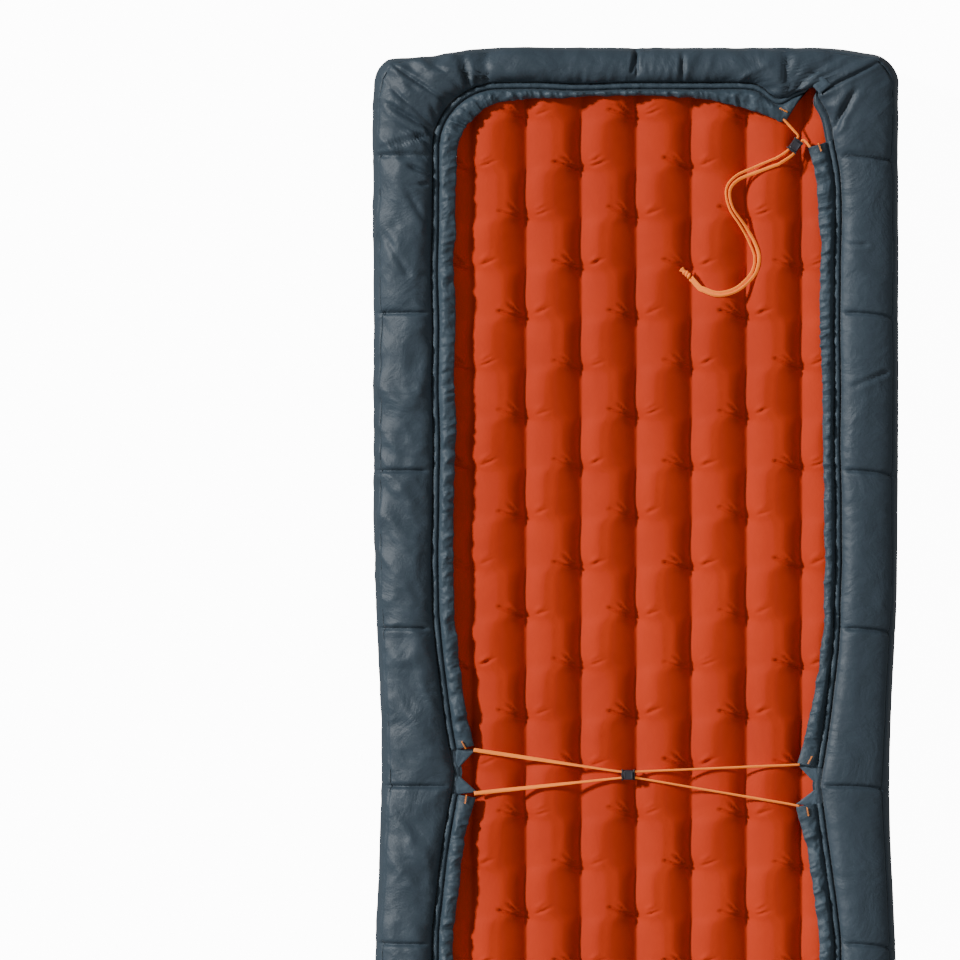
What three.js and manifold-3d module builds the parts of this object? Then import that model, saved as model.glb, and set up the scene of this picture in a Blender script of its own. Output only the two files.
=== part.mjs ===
// Camp quilt, lying flat with its quilted face on the ground and its underside up.
// The quilt is a fitted cover: outer fabric, insulation and lining are sewn into one padded shell
// that wraps round an air pad and closes on its underside with an elasticated hem.
// Millimetres. X runs across the quilt, +Y towards the head end, +Z up.
// The origin is the middle of the ground contact.
import * as THREE from "three";
import { mergeVertices } from "three/addons/utils/BufferGeometryUtils.js";
import Module from "manifold-3d";

// ---- driving dimensions ----

// Padded shell
const quiltWidth = 660;
const quiltLength = 1850;
const quiltHeight = 114;
const cornerRadius = 34; // in plan
const edgeRadius = 30; // where the face turns into the sides
const coverThickness = 1.2;
const battThickness = 10;
const liningThickness = 1.0;
const layerGap = 0.3; // between touching pieces

// Opening on the underside, measured at the seam that joins the hem to the padded border
const sideBorder = 76;
const endBorder = 46;
const openingCornerRadius = 60;
const waistPull = 28; // how far the cross cords draw the hem in at mid length
const waistReach = 200; // length of hem on each side of the middle that is drawn in

// Hem casing and the elastic cord in it
const casingWidth = 24;
const casingHeight = 6;
const casingBore = 4.4;
const boreInset = 6; // from the casing's middle towards the opening
const cordDiameter = 3.2;
const cordSides = 8;
const strandBend = 8; // how far a cord runs on past a casing's mouth while it turns

// Where the casings end
const headTab = { x: quiltWidth / 2 - 144, pull: 20, reach: 62 }; // by the notch, on the head side
const sideTab = { y: quiltLength / 2 - 129, pull: 16, reach: 100 }; // by the notch, on the right
const rightHeadTabY = 30;
const rightFootTabY = -27;
const leftHeadTabY = 46;
const leftFootTabY = -10;

// Bartacks across the casing ends
const tackLength = 10;
const tackWidth = 2.2;
const tackHeight = 0.8;
const tackSetback = 9; // from the casing's end

// Facings that edge the notches, and the binding at the top of the corner notch
const facingThickness = 0.8;
const bindingSize = { length: 24, width: 12, height: 2 };

// Cord locks
const lockLength = 17;
const lockWidth = 14;
const lockHeight = 8;
const lockEdge = 1.5;
const lockBoreDiameter = 4.0;
const strandSpacing = 8.2; // between the two cords in a lock
const buttonLength = 10.6;
const buttonWidth = 11;
const buttonHeight = 2;
const plungerWidth = 3.4;
const plungerLength = 7.4;
const plungerTravel = 2;
const plungerFit = 0.25;
const springDiameter = 2.6;
const springWire = 0.45;
const springTurns = 3;
const lockPocketFloor = 1.0;

// Places of the two locks
const cornerLock = {
  x: quiltWidth / 2 - 132,
  y: quiltLength / 2 - 125,
  angle: Math.atan2(-0.8, -0.6),
};
const centreLock = { x: -10.5, y: 14.3, angle: 0 };

// Knot at the end of the doubled free cord
const knotDiameter = 9;
const knotLength = 13;

// Air pad
const padSkin = 1.2;
const tubePitch = 69; // between the lengthwise webs
const webCount = 9;
const webThickness = 0.8;
const webEndClear = 60; // the webs stop short of the pad's two ends

// Flat valve in the pad, near the foot end
const valvePlace = { x: -2.5 * tubePitch, y: 155 - quiltLength / 2 };
const valveRadius = 17;
const valveStemRadius = 12;
const valveStemDepth = 10;
const valveFlangeHeight = 1.6;
const valveRecessRadius = 9;
const valveRecessDepth = 3.2;
const valveFlapThickness = 0.8;
const valveLidHeight = 3;
const valveLidRim = 1.2;
const hingePinRadius = 1;
const hingePinPlay = 0.25;
const hingeWall = 1.3;
const hingeKnuckleLength = 7;
const hingeEarLength = 2.6;

// ---- values that follow from them ----

const padHalfWidth = quiltWidth / 2 - coverThickness - battThickness - liningThickness - 3 * layerGap;
const padHalfLength = quiltLength / 2 - coverThickness - battThickness - liningThickness - 3 * layerGap;
const padBottom = coverThickness + battThickness + liningThickness + 3 * layerGap;
const padTop = quiltHeight - padBottom;
const padMiddle = (padTop + padBottom) / 2;
const seamHalfWidth = quiltWidth / 2 - sideBorder;
const seamHalfLength = quiltLength / 2 - endBorder;
const casingInset = casingWidth / 2 + layerGap;
const casingZ = padTop + facingThickness + 2 * layerGap + casingHeight / 2;
const cordRadius = cordDiameter / 2;
const lyingCordZ = padTop + layerGap + cordRadius;
const lockZ = padTop + layerGap + lockHeight / 2;
const waistCasingX = seamHalfWidth - waistPull - casingInset;

const wasm = await Module();
wasm.setup();

// ---- materials ----

const palette = {
  cover: { color: 0x3d4f58, roughness: 0.45, metalness: 0 },
  lining: { color: 0x2e3c44, roughness: 0.6, metalness: 0 },
  batt: { color: 0xe9e7e2, roughness: 0.95, metalness: 0 },
  hem: { color: 0x43555f, roughness: 0.5, metalness: 0 },
  elastic: { color: 0xf5923e, roughness: 0.75, metalness: 0 },
  thread: { color: 0xf0a050, roughness: 0.7, metalness: 0 },
  lock: { color: 0x333238, roughness: 0.45, metalness: 0 },
  steel: { color: 0xb8bcc0, roughness: 0.3, metalness: 1 },
  pad: { color: 0xb5432a, roughness: 0.5, metalness: 0 },
  valve: { color: 0x2b2b2e, roughness: 0.5, metalness: 0 },
};

const quilt = new THREE.Group();

function place(name, geometry, finish, parent = quilt) {
  const mesh = new THREE.Mesh(geometry, new THREE.MeshStandardMaterial(palette[finish]));
  mesh.name = name;
  parent.add(mesh);
  return mesh;
}

// ---- solids ----

function toSolid(geometry) {
  const plain = geometry.index ? geometry.toNonIndexed() : geometry.clone();
  plain.deleteAttribute("normal");
  plain.deleteAttribute("uv");
  const merged = mergeVertices(plain, 1e-4);
  const mesh = new wasm.Mesh({
    numProp: 3,
    vertProperties: merged.attributes.position.array,
    triVerts: new Uint32Array(merged.index.array),
  });
  return new wasm.Manifold(mesh);
}

function toGeometry(solid) {
  const mesh = solid.getMesh();
  const geometry = new THREE.BufferGeometry();
  const points = [];
  for (let i = 0; i < mesh.numVert; i += 1) {
    const start = i * mesh.numProp;
    points.push(...mesh.vertProperties.slice(start, start + 3));
  }
  geometry.setAttribute("position", new THREE.Float32BufferAttribute(points, 3));
  geometry.setIndex([...mesh.triVerts]);
  return geometry;
}

function cut(geometry, ...tools) {
  let solid = toSolid(geometry);
  for (const tool of tools) solid = solid.subtract(toSolid(tool));
  return toGeometry(solid);
}

function join(...geometries) {
  let solid = toSolid(geometries[0]);
  for (const piece of geometries.slice(1)) solid = solid.add(toSolid(piece));
  return toGeometry(solid);
}

function box(sizeX, sizeY, sizeZ, x = 0, y = 0, z = 0) {
  return new THREE.BoxGeometry(sizeX, sizeY, sizeZ).translate(x, y, z);
}

// A cylinder standing on Z, its middle at the given point.
function post(radius, height, x, y, z, sides = 24) {
  return new THREE.CylinderGeometry(radius, radius, height, sides)
    .rotateX(Math.PI / 2)
    .translate(x, y, z);
}

// A rod along X, its middle at the given point.
function rod(radius, length, x, y, z, sides = 12) {
  return new THREE.CylinderGeometry(radius, radius, length, sides)
    .rotateZ(Math.PI / 2)
    .translate(x, y, z);
}

function roundedRectangle(halfX, halfY, radius) {
  const shape = new THREE.Shape();
  shape.absarc(halfX - radius, halfY - radius, radius, 0, Math.PI / 2);
  shape.absarc(radius - halfX, halfY - radius, radius, Math.PI / 2, Math.PI);
  shape.absarc(radius - halfX, radius - halfY, radius, Math.PI, 1.5 * Math.PI);
  shape.absarc(halfX - radius, radius - halfY, radius, 1.5 * Math.PI, 2 * Math.PI);
  return shape;
}

// A box with rounded corners in plan and rounded edges above and below.
function pillow(halfX, halfY, bottom, top, planRadius, roundRadius, segments = 4) {
  const planOffset = Math.max(planRadius - roundRadius, 2);
  const shape = roundedRectangle(halfX - roundRadius, halfY - roundRadius, planOffset);
  const geometry = new THREE.ExtrudeGeometry(shape, {
    depth: top - bottom - 2 * roundRadius,
    bevelEnabled: true,
    bevelSize: roundRadius,
    bevelThickness: roundRadius,
    bevelSegments: segments,
    curveSegments: 4,
  });
  return geometry.translate(0, 0, bottom + roundRadius);
}

// The quilt's outline shrunk evenly by a depth.
function shellLayer(depth) {
  return pillow(
    quiltWidth / 2 - depth,
    quiltLength / 2 - depth,
    depth,
    quiltHeight - depth,
    cornerRadius - depth / 2,
    edgeRadius - depth / 2,
  );
}

// Half of the hem seam's outline on one side, from the foot to the head, drawn in at the waist.
function waistedSide(path, x, direction, pull = waistPull) {
  const edge = x - Math.sign(x) * pull;
  const shoulder = x - Math.sign(x) * pull * 0.35;
  path.lineTo(x, -direction * waistReach);
  path.quadraticCurveTo(shoulder, -direction * waistReach * 0.4, edge, 0);
  path.quadraticCurveTo(shoulder, direction * waistReach * 0.4, x, direction * waistReach);
}

// The opening's outline, inset from the hem seam.
function openingShape(inset) {
  const a = seamHalfWidth - inset;
  const b = seamHalfLength - inset;
  const r = openingCornerRadius - inset;
  const shape = new THREE.Shape();
  shape.moveTo(a, r - b);
  waistedSide(shape, a, 1);
  shape.absarc(a - r, b - r, r, 0, Math.PI / 2);
  shape.absarc(r - a, b - r, r, Math.PI / 2, Math.PI);
  waistedSide(shape, -a, -1);
  shape.absarc(r - a, r - b, r, Math.PI, 1.5 * Math.PI);
  shape.absarc(a - r, r - b, r, 1.5 * Math.PI, 2 * Math.PI);
  return shape;
}

function openingCutter() {
  const cutter = new THREE.ExtrudeGeometry(openingShape(0), {
    depth: quiltHeight,
    bevelEnabled: false,
    curveSegments: 6,
  });
  return cutter.translate(0, 0, padMiddle);
}

// ---- padded shell: three sewn layers ----

function addShell() {
  const depths = {
    outer_cover: [0, coverThickness],
    insulation_batt: [coverThickness + layerGap, coverThickness + layerGap + battThickness],
  };
  const liningStart = depths.insulation_batt[1] + layerGap;
  depths.lining = [liningStart, liningStart + liningThickness];
  const finishes = { outer_cover: "cover", insulation_batt: "batt", lining: "lining" };
  for (const [name, [outside, inside]] of Object.entries(depths)) {
    place(name, cut(shellLayer(outside), shellLayer(inside), openingCutter()), finishes[name]);
  }
}

// ---- hem casings ----

function liftPath(path, count, z) {
  const points = path.getSpacedPoints(count).map((p) => new THREE.Vector3(p.x, p.y, z));
  return new THREE.CatmullRomCurve3(points, false, "centripetal");
}

// Steps along each casing, about one every 45 mm.
const headSteps = 30;
const sideSteps = 17;
const footSteps = 46;

// Casing routes run anticlockwise, so the opening is always on their left.
function headRoute() {
  const a = seamHalfWidth - casingInset;
  const b = seamHalfLength - casingInset;
  const r = openingCornerRadius - casingInset;
  const path = new THREE.Path();
  path.moveTo(headTab.x, b - headTab.pull);
  path.quadraticCurveTo(headTab.x - headTab.reach * 0.55, b, headTab.x - headTab.reach, b);
  path.absarc(r - a, b - r, r, Math.PI / 2, Math.PI);
  path.lineTo(-a, waistReach);
  path.quadraticCurveTo(
    -a + waistPull * 0.35,
    waistReach * 0.55,
    -waistCasingX - 2,
    leftHeadTabY,
  );
  return liftPath(path, headSteps, casingZ);
}

function sideRoute() {
  const a = seamHalfWidth - casingInset;
  const path = new THREE.Path();
  path.moveTo(waistCasingX + 2, rightHeadTabY);
  path.quadraticCurveTo(a - waistPull * 0.35, waistReach * 0.5, a, waistReach);
  path.lineTo(a, sideTab.y - sideTab.reach);
  path.quadraticCurveTo(a, sideTab.y - sideTab.reach * 0.45, a - sideTab.pull, sideTab.y);
  return liftPath(path, sideSteps, casingZ);
}

function footRoute() {
  const a = seamHalfWidth - casingInset;
  const b = seamHalfLength - casingInset;
  const r = openingCornerRadius - casingInset;
  const path = new THREE.Path();
  path.moveTo(-waistCasingX - 2, leftFootTabY);
  path.quadraticCurveTo(-a + waistPull * 0.35, -waistReach * 0.5, -a, -waistReach);
  path.absarc(r - a, r - b, r, Math.PI, 1.5 * Math.PI);
  path.absarc(a - r, r - b, r, 1.5 * Math.PI, 2 * Math.PI);
  path.lineTo(a, -waistReach);
  path.quadraticCurveTo(a - waistPull * 0.35, -waistReach * 0.5, waistCasingX + 2, rightFootTabY);
  return liftPath(path, footSteps, casingZ);
}

function regularPolygon(radius, sides, offset = 0) {
  const points = [];
  for (let i = 0; i < sides; i += 1) {
    const turn = (2 * Math.PI * (i + 0.5)) / sides;
    points.push(new THREE.Vector2(radius * Math.cos(turn), offset + radius * Math.sin(turn)));
  }
  return points;
}

function casingSection() {
  const h = casingHeight / 2;
  const w = casingWidth / 2;
  const flat = w * 0.72;
  const edge = h * 0.45;
  const section = new THREE.Shape();
  section.moveTo(-h, -flat);
  section.lineTo(-edge, -w);
  section.lineTo(edge, -w);
  section.lineTo(h, -flat);
  section.lineTo(h, flat);
  section.lineTo(edge, w);
  section.lineTo(-edge, w);
  section.lineTo(-h, flat);
  section.closePath();
  section.holes.push(new THREE.Path(regularPolygon(casingBore / 2, cordSides, boreInset)));
  return section;
}

function sweep(section, curve, steps) {
  return new THREE.ExtrudeGeometry(section, { extrudePath: curve, steps });
}

function cordSection(offset = 0) {
  return new THREE.Shape(regularPolygon(cordRadius, cordSides, offset));
}

function addHem() {
  const routes = {
    head: [headRoute(), headSteps],
    side: [sideRoute(), sideSteps],
    foot: [footRoute(), footSteps],
  };
  for (const [name, [curve, steps]] of Object.entries(routes)) {
    place(`${name}_casing`, sweep(casingSection(), curve, steps), "hem");
    place(`${name}_drawcord`, sweep(cordSection(boreInset), curve, steps), "elastic");
  }
  return { head: routes.head[0], side: routes.side[0], foot: routes.foot[0] };
}

// The point of a casing's bore at one end, with the direction in which its cord leaves.
function boreMouth(curve, atStart) {
  const u = atStart ? 0 : 1;
  const along = curve.getTangentAt(u);
  const left = new THREE.Vector3(-along.y, along.x, 0);
  const point = curve.getPointAt(u).addScaledVector(left, boreInset);
  const out = along.multiplyScalar(atStart ? -1 : 1);
  return { point: point.addScaledVector(out, layerGap), out };
}

function addBartack(name, curve, atStart) {
  const length = curve.getLength();
  const u = atStart ? tackSetback / length : 1 - tackSetback / length;
  const along = curve.getTangentAt(u);
  const point = curve.getPointAt(u);
  const tack = place(name, box(tackLength, tackWidth, tackHeight), "thread");
  tack.position.copy(point);
  tack.position.z += casingHeight / 2 + layerGap + tackHeight / 2;
  tack.rotation.z = Math.atan2(along.y, along.x);
}

function addBartacks(hem) {
  addBartack("bartack_head_corner", hem.head, true);
  addBartack("bartack_head_left", hem.head, false);
  addBartack("bartack_side_right", hem.side, true);
  addBartack("bartack_side_corner", hem.side, false);
  addBartack("bartack_foot_left", hem.foot, true);
  addBartack("bartack_foot_right", hem.foot, false);
}

// ---- notch facings and corner binding ----

// A thin triangle of folded fabric that joins two casing ends at the waist.
function addWaistFacing(name, side, headEnd, footEnd) {
  const seamX = seamHalfWidth - waistPull - layerGap - 0.2;
  const innerX = seamX - casingWidth * 0.55;
  const shape = new THREE.Shape();
  shape.moveTo(side * seamX, headEnd - 2);
  shape.lineTo(side * innerX, headEnd - 2);
  shape.lineTo(side * (seamX - 3), (headEnd + footEnd) / 2);
  shape.lineTo(side * innerX, footEnd + 2);
  shape.lineTo(side * seamX, footEnd + 2);
  shape.closePath();
  const geometry = new THREE.ExtrudeGeometry(shape, {
    depth: facingThickness,
    bevelEnabled: false,
  });
  place(name, geometry.translate(0, 0, padTop + layerGap), "hem");
}

function addBinding() {
  const arcReach = openingCornerRadius / Math.SQRT2;
  const bulge = Math.hypot(openingCornerRadius, bindingSize.length / 2) - openingCornerRadius;
  const setback = (bindingSize.width / 2 + bulge + 2 * layerGap) / Math.SQRT2;
  const binding = place(
    "corner_binding",
    box(bindingSize.width, bindingSize.length, bindingSize.height),
    "hem",
  );
  binding.position.set(
    seamHalfWidth - openingCornerRadius + arcReach - setback,
    seamHalfLength - openingCornerRadius + arcReach - setback,
    casingZ,
  );
  binding.rotation.z = Math.PI / 4;
}

// ---- cords ----

function addCord(name, points, steps) {
  const curve = new THREE.CatmullRomCurve3(points, false, "centripetal");
  place(name, sweep(cordSection(), curve, steps), "elastic");
}

// A point in a lock's own frame: along its cords, across them, and up.
function lockPoint(lock, along, across, up = 0) {
  const c = Math.cos(lock.angle);
  const s = Math.sin(lock.angle);
  return new THREE.Vector3(
    lock.x + along * c - across * s,
    lock.y + along * s + across * c,
    lockZ + up,
  );
}

// A taut strand that leaves a casing's mouth, turns and runs into a lock as far as its middle.
function addStrand(name, mouth, lock, entry, across, steps) {
  const inner = lockPoint(lock, (Math.sign(entry) * layerGap) / 2, across);
  const door = lockPoint(lock, entry, across);
  const heading = door.clone().sub(mouth.point).normalize();
  const [start, straight] = mouthPoints(mouth);
  const bend = straight.clone().addScaledVector(mouth.out, strandBend);
  const after = bend.clone().addScaledVector(heading, strandBend);
  const turn = [start, ...new THREE.QuadraticBezierCurve3(straight, bend, after).getPoints(5)];
  const run = [];
  for (let i = 1; i < 4; i += 1) run.push(after.clone().lerp(door, i / 4));
  addCord(name, [...turn, ...run, door, inner], steps);
}

function addCrossStrands(hem) {
  const entry = lockLength / 2 + 3;
  const half = strandSpacing / 2;
  addStrand("right_head_strand", boreMouth(hem.side, true), centreLock, entry, half, 20);
  addStrand("right_foot_strand", boreMouth(hem.foot, false), centreLock, entry, -half, 20);
  addStrand("left_head_strand", boreMouth(hem.head, false), centreLock, -entry, half, 20);
  addStrand("left_foot_strand", boreMouth(hem.foot, true), centreLock, -entry, -half, 20);
}

// A cord's first points: the casing's mouth, and a little way straight out of it.
function mouthPoints(mouth) {
  return [mouth.point, mouth.point.clone().addScaledVector(mouth.out, cordDiameter)];
}

// Short links between the casing ends at the corner notch and the corner lock.
function addLinks(hem) {
  const half = strandSpacing / 2;
  const headLink = [
    ...mouthPoints(boreMouth(hem.head, true)),
    new THREE.Vector3(cornerLock.x - 1.5, cornerLock.y + 27.5, lockZ),
    new THREE.Vector3(cornerLock.x + 4.5, cornerLock.y + 20, lockZ),
    lockPoint(cornerLock, -lockLength / 2 - 3, -half),
    lockPoint(cornerLock, -layerGap, -half),
  ];
  addCord("head_link_cord", headLink, 12);
  const sideLink = [
    ...mouthPoints(boreMouth(hem.side, false)),
    new THREE.Vector3(cornerLock.x + 17.6, cornerLock.y + 9, lockZ),
    new THREE.Vector3(cornerLock.x + 12.5, cornerLock.y + 9.8, lockZ),
    lockPoint(cornerLock, -lockLength / 2, half),
    lockPoint(cornerLock, -layerGap, half),
  ];
  addCord("side_link_cord", sideLink, 12);
}

// The doubled free cord lies on the pad in an S and ends in a knot. One route, a strand each side.
// Offsets from the corner lock.
const freeRoute = [
  [-22, -19],
  [-50, -30],
  [-72.4, -40],
  [-83.6, -55],
  [-79.9, -77.5],
  [-64.9, -100],
  [-53.6, -120],
  [-47.4, -138.7],
  [-51.1, -157.5],
  [-64.9, -173.7],
  [-79.9, -182.5],
  [-98.6, -185],
  [-118.6, -177.5],
];
const knotPlace = {
  x: cornerLock.x - 135,
  y: cornerLock.y - 160,
  angle: Math.atan2(11, -12),
};
const freeSpacing = 5.6;

function knotPoint(along, across) {
  const c = Math.cos(knotPlace.angle);
  const s = Math.sin(knotPlace.angle);
  return new THREE.Vector3(
    knotPlace.x + along * c - across * s,
    knotPlace.y + along * s + across * c,
    lyingCordZ,
  );
}

function addFreeStrand(name, side) {
  const middle = new THREE.CatmullRomCurve3(
    freeRoute.map(([x, y]) => new THREE.Vector3(cornerLock.x + x, cornerLock.y + y, lyingCordZ)),
    false,
    "centripetal",
  );
  const points = [
    lockPoint(cornerLock, layerGap, (side * strandSpacing) / 2),
    lockPoint(cornerLock, lockLength / 2 + 2, (side * strandSpacing) / 2),
  ];
  const samples = 20;
  for (let i = 0; i <= samples; i += 1) {
    const along = middle.getTangentAt(i / samples);
    const left = new THREE.Vector3(-along.y, along.x, 0);
    points.push(middle.getPointAt(i / samples).addScaledVector(left, (side * freeSpacing) / 2));
  }
  points.push(knotPoint(-knotLength / 2 - layerGap, (side * (cordDiameter + 2 * layerGap)) / 2));
  addCord(name, points, 46);
}

function addFreeCord() {
  addFreeStrand("free_strand_left", -1);
  addFreeStrand("free_strand_right", 1);
  const profile = [
    new THREE.Vector2(0, -knotLength / 2),
    new THREE.Vector2(knotDiameter * 0.42, -knotLength / 2),
    new THREE.Vector2(knotDiameter * 0.5, 0),
    new THREE.Vector2(knotDiameter * 0.3, knotLength / 2),
    new THREE.Vector2(0, knotLength / 2),
  ];
  const knot = new THREE.LatheGeometry(profile, 10).rotateZ(-Math.PI / 2);
  const mesh = place("cord_knot", knot, "elastic");
  mesh.position.set(knotPlace.x, knotPlace.y, padTop + layerGap + knotDiameter / 2);
  mesh.rotation.z = knotPlace.angle;
}

// ---- cord locks: a barrel that two cords run through, and a sprung button that grips them ----

function lockBody() {
  const shape = new THREE.Shape();
  const w = lockWidth / 2;
  const h = lockHeight / 2;
  shape.moveTo(-w + lockEdge, -h);
  shape.lineTo(w - lockEdge, -h);
  shape.absarc(w - lockEdge, -h + lockEdge, lockEdge, -Math.PI / 2, 0);
  shape.absarc(w - lockEdge, h - lockEdge, lockEdge, 0, Math.PI / 2);
  shape.absarc(lockEdge - w, h - lockEdge, lockEdge, Math.PI / 2, Math.PI);
  shape.absarc(lockEdge - w, lockEdge - h, lockEdge, Math.PI, 1.5 * Math.PI);
  const barrel = new THREE.ExtrudeGeometry(shape, {
    depth: lockLength,
    bevelEnabled: false,
    curveSegments: 3,
  });
  barrel.translate(0, 0, -lockLength / 2).rotateY(Math.PI / 2).rotateX(Math.PI / 2);
  const bores = [-1, 1].map((side) =>
    rod(lockBoreDiameter / 2, lockLength + 2, 0, (side * strandSpacing) / 2, 0, 10),
  );
  const pocketHeight = lockHeight - lockPocketFloor;
  const pocket = box(
    plungerLength + 2 * plungerFit,
    plungerWidth + 2 * plungerFit,
    pocketHeight + 1,
    0,
    0,
    lockPocketFloor / 2 + 0.5,
  );
  return cut(barrel, ...bores, pocket);
}

// The button's cap stands above the barrel by its travel, and its stem reaches into the pocket.
function lockButton() {
  const capBottom = lockHeight / 2 + plungerTravel + layerGap;
  const cap = pillow(
    buttonLength / 2,
    buttonWidth / 2,
    capBottom,
    capBottom + buttonHeight,
    2.4,
    0.6,
    1,
  );
  const stemBottom = buttonStemBottom();
  const stemTop = capBottom + buttonHeight / 2;
  const stem = box(
    plungerLength,
    plungerWidth,
    stemTop - stemBottom,
    0,
    0,
    (stemTop + stemBottom) / 2,
  );
  return join(cap, stem);
}

function buttonStemBottom() {
  return lockPocketFloor - lockHeight / 2 + plungerTravel + 1.2;
}

function lockSpring() {
  const bottom = lockPocketFloor - lockHeight / 2 + layerGap + springWire / 2;
  const top = buttonStemBottom() - layerGap - springWire / 2;
  const points = [];
  const perTurn = 8;
  for (let i = 0; i <= springTurns * perTurn; i += 1) {
    const turn = (2 * Math.PI * i) / perTurn;
    const radius = (springDiameter - springWire) / 2;
    const z = bottom + ((top - bottom) * i) / (springTurns * perTurn);
    points.push(new THREE.Vector3(radius * Math.cos(turn), radius * Math.sin(turn), z));
  }
  const section = new THREE.Shape(regularPolygon(springWire / 2, 5));
  return sweep(section, new THREE.CatmullRomCurve3(points), springTurns * perTurn);
}

function addLock(name, lock) {
  const group = new THREE.Group();
  group.position.set(lock.x, lock.y, lockZ);
  group.rotation.z = lock.angle;
  quilt.add(group);
  place(`${name}_lock_barrel`, lockBody(), "lock", group);
  place(`${name}_lock_button`, lockButton(), "lock", group);
  place(`${name}_lock_spring`, lockSpring(), "steel", group);
}

// ---- air pad: two sheets welded round the rim and held flat by lengthwise webs ----

function padHalf(upper) {
  const round = (padTop - padBottom) / 2 - 4;
  const outside = pillow(padHalfWidth, padHalfLength, padBottom, padTop, 60, round, 4);
  const inside = pillow(
    padHalfWidth - padSkin,
    padHalfLength - padSkin,
    padBottom + padSkin,
    padTop - padSkin,
    60 - padSkin,
    round,
    4,
  );
  const keepAway = box(
    quiltWidth,
    quiltLength,
    quiltHeight,
    0,
    0,
    padMiddle + (upper ? -1 : 1) * ((quiltHeight - layerGap) / 2),
  );
  const cutters = [inside, keepAway];
  if (upper) {
    cutters.push(post(valveStemRadius + layerGap, 4 * padSkin, valvePlace.x, valvePlace.y, padTop));
  }
  return cut(outside, ...cutters);
}

function addPad() {
  place("pad_upper_sheet", padHalf(true), "pad");
  place("pad_lower_sheet", padHalf(false), "pad");
  const webHeight = padTop - padBottom - 2 * padSkin - 2 * layerGap;
  const webLength = 2 * (padHalfLength - webEndClear);
  for (let i = 0; i < webCount; i += 1) {
    const x = (i - (webCount - 1) / 2) * tubePitch;
    place(`pad_web_${i + 1}`, box(webThickness, webLength, webHeight, x, 0, padMiddle), "pad");
  }
}

// A flat valve: a stem through the sheet with a flange on it, a one-way flap in its recess,
// and a lid that swings on a pin held by two ears.
function addValve() {
  const { x, y } = valvePlace;
  const flangeBottom = padTop + layerGap;
  const flangeTop = flangeBottom + valveFlangeHeight;
  const lidBottom = flangeTop + layerGap;
  const hingeY = y - valveRadius - hingePinRadius - hingePinPlay;
  const knuckleRadius = hingePinRadius + hingePinPlay + hingeWall;
  const hingeZ = flangeTop + layerGap + knuckleRadius;

  const stem = post(valveStemRadius, valveStemDepth, x, y, flangeTop - valveStemDepth / 2);
  const flange = post(valveRadius, valveFlangeHeight, x, y, flangeTop - valveFlangeHeight / 2);
  const earOffset = (hingeKnuckleLength + hingeEarLength) / 2 + layerGap;
  const earFoot = hingeZ - flangeBottom;
  const ears = [-1, 1].flatMap((side) => {
    const earX = x + side * earOffset;
    return [
      box(hingeEarLength, 2 * knuckleRadius, earFoot, earX, hingeY, hingeZ - earFoot / 2),
      rod(knuckleRadius, hingeEarLength, earX, hingeY, hingeZ, 24),
    ];
  });
  const footing = box(
    2 * earOffset + hingeEarLength,
    valveRadius,
    valveFlangeHeight,
    x,
    hingeY + valveRadius / 2 - knuckleRadius,
    flangeTop - valveFlangeHeight / 2,
  );
  const recess = post(
    valveRecessRadius,
    2 * valveRecessDepth,
    x,
    y,
    flangeTop,
  );
  const pinHole = rod(hingePinRadius + hingePinPlay, 3 * valveRadius, x, hingeY, hingeZ);
  place("valve_body", cut(join(stem, flange, footing, ...ears), recess, pinHole), "valve");

  const flapBottom = flangeTop - valveRecessDepth + layerGap;
  const flapRadius = valveRecessRadius - layerGap;
  place(
    "valve_flap",
    post(flapRadius, valveFlapThickness, x, y, flapBottom + valveFlapThickness / 2),
    "valve",
  );

  const lid = post(valveRadius - 1, valveLidHeight, x, y, lidBottom + valveLidHeight / 2);
  const rim = post(
    valveRecessRadius - 2 * layerGap,
    valveLidRim + 1,
    x,
    y,
    lidBottom + (1 - valveLidRim) / 2,
  );
  const knuckle = rod(knuckleRadius, hingeKnuckleLength, x, hingeY, hingeZ);
  const tongueLength = 4;
  const tongue = box(
    hingeKnuckleLength,
    tongueLength,
    valveLidHeight - 1,
    x,
    hingeY + tongueLength / 2,
    lidBottom + (valveLidHeight + 1) / 2,
  );
  place("valve_lid", cut(join(lid, rim, knuckle, tongue), pinHole), "valve");
  const pinLength = 2 * (earOffset + hingeEarLength / 2);
  place("valve_hinge_pin", rod(hingePinRadius, pinLength, x, hingeY, hingeZ), "steel");
}

addShell();
const hem = addHem();
addBartacks(hem);
addWaistFacing("right_waist_facing", 1, rightHeadTabY, rightFootTabY);
addWaistFacing("left_waist_facing", -1, leftHeadTabY, leftFootTabY);
addBinding();
addCrossStrands(hem);
addLinks(hem);
addFreeCord();
addLock("corner", cornerLock);
addLock("centre", centreLock);
addPad();
addValve();

export default quilt;
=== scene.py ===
import math

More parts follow.
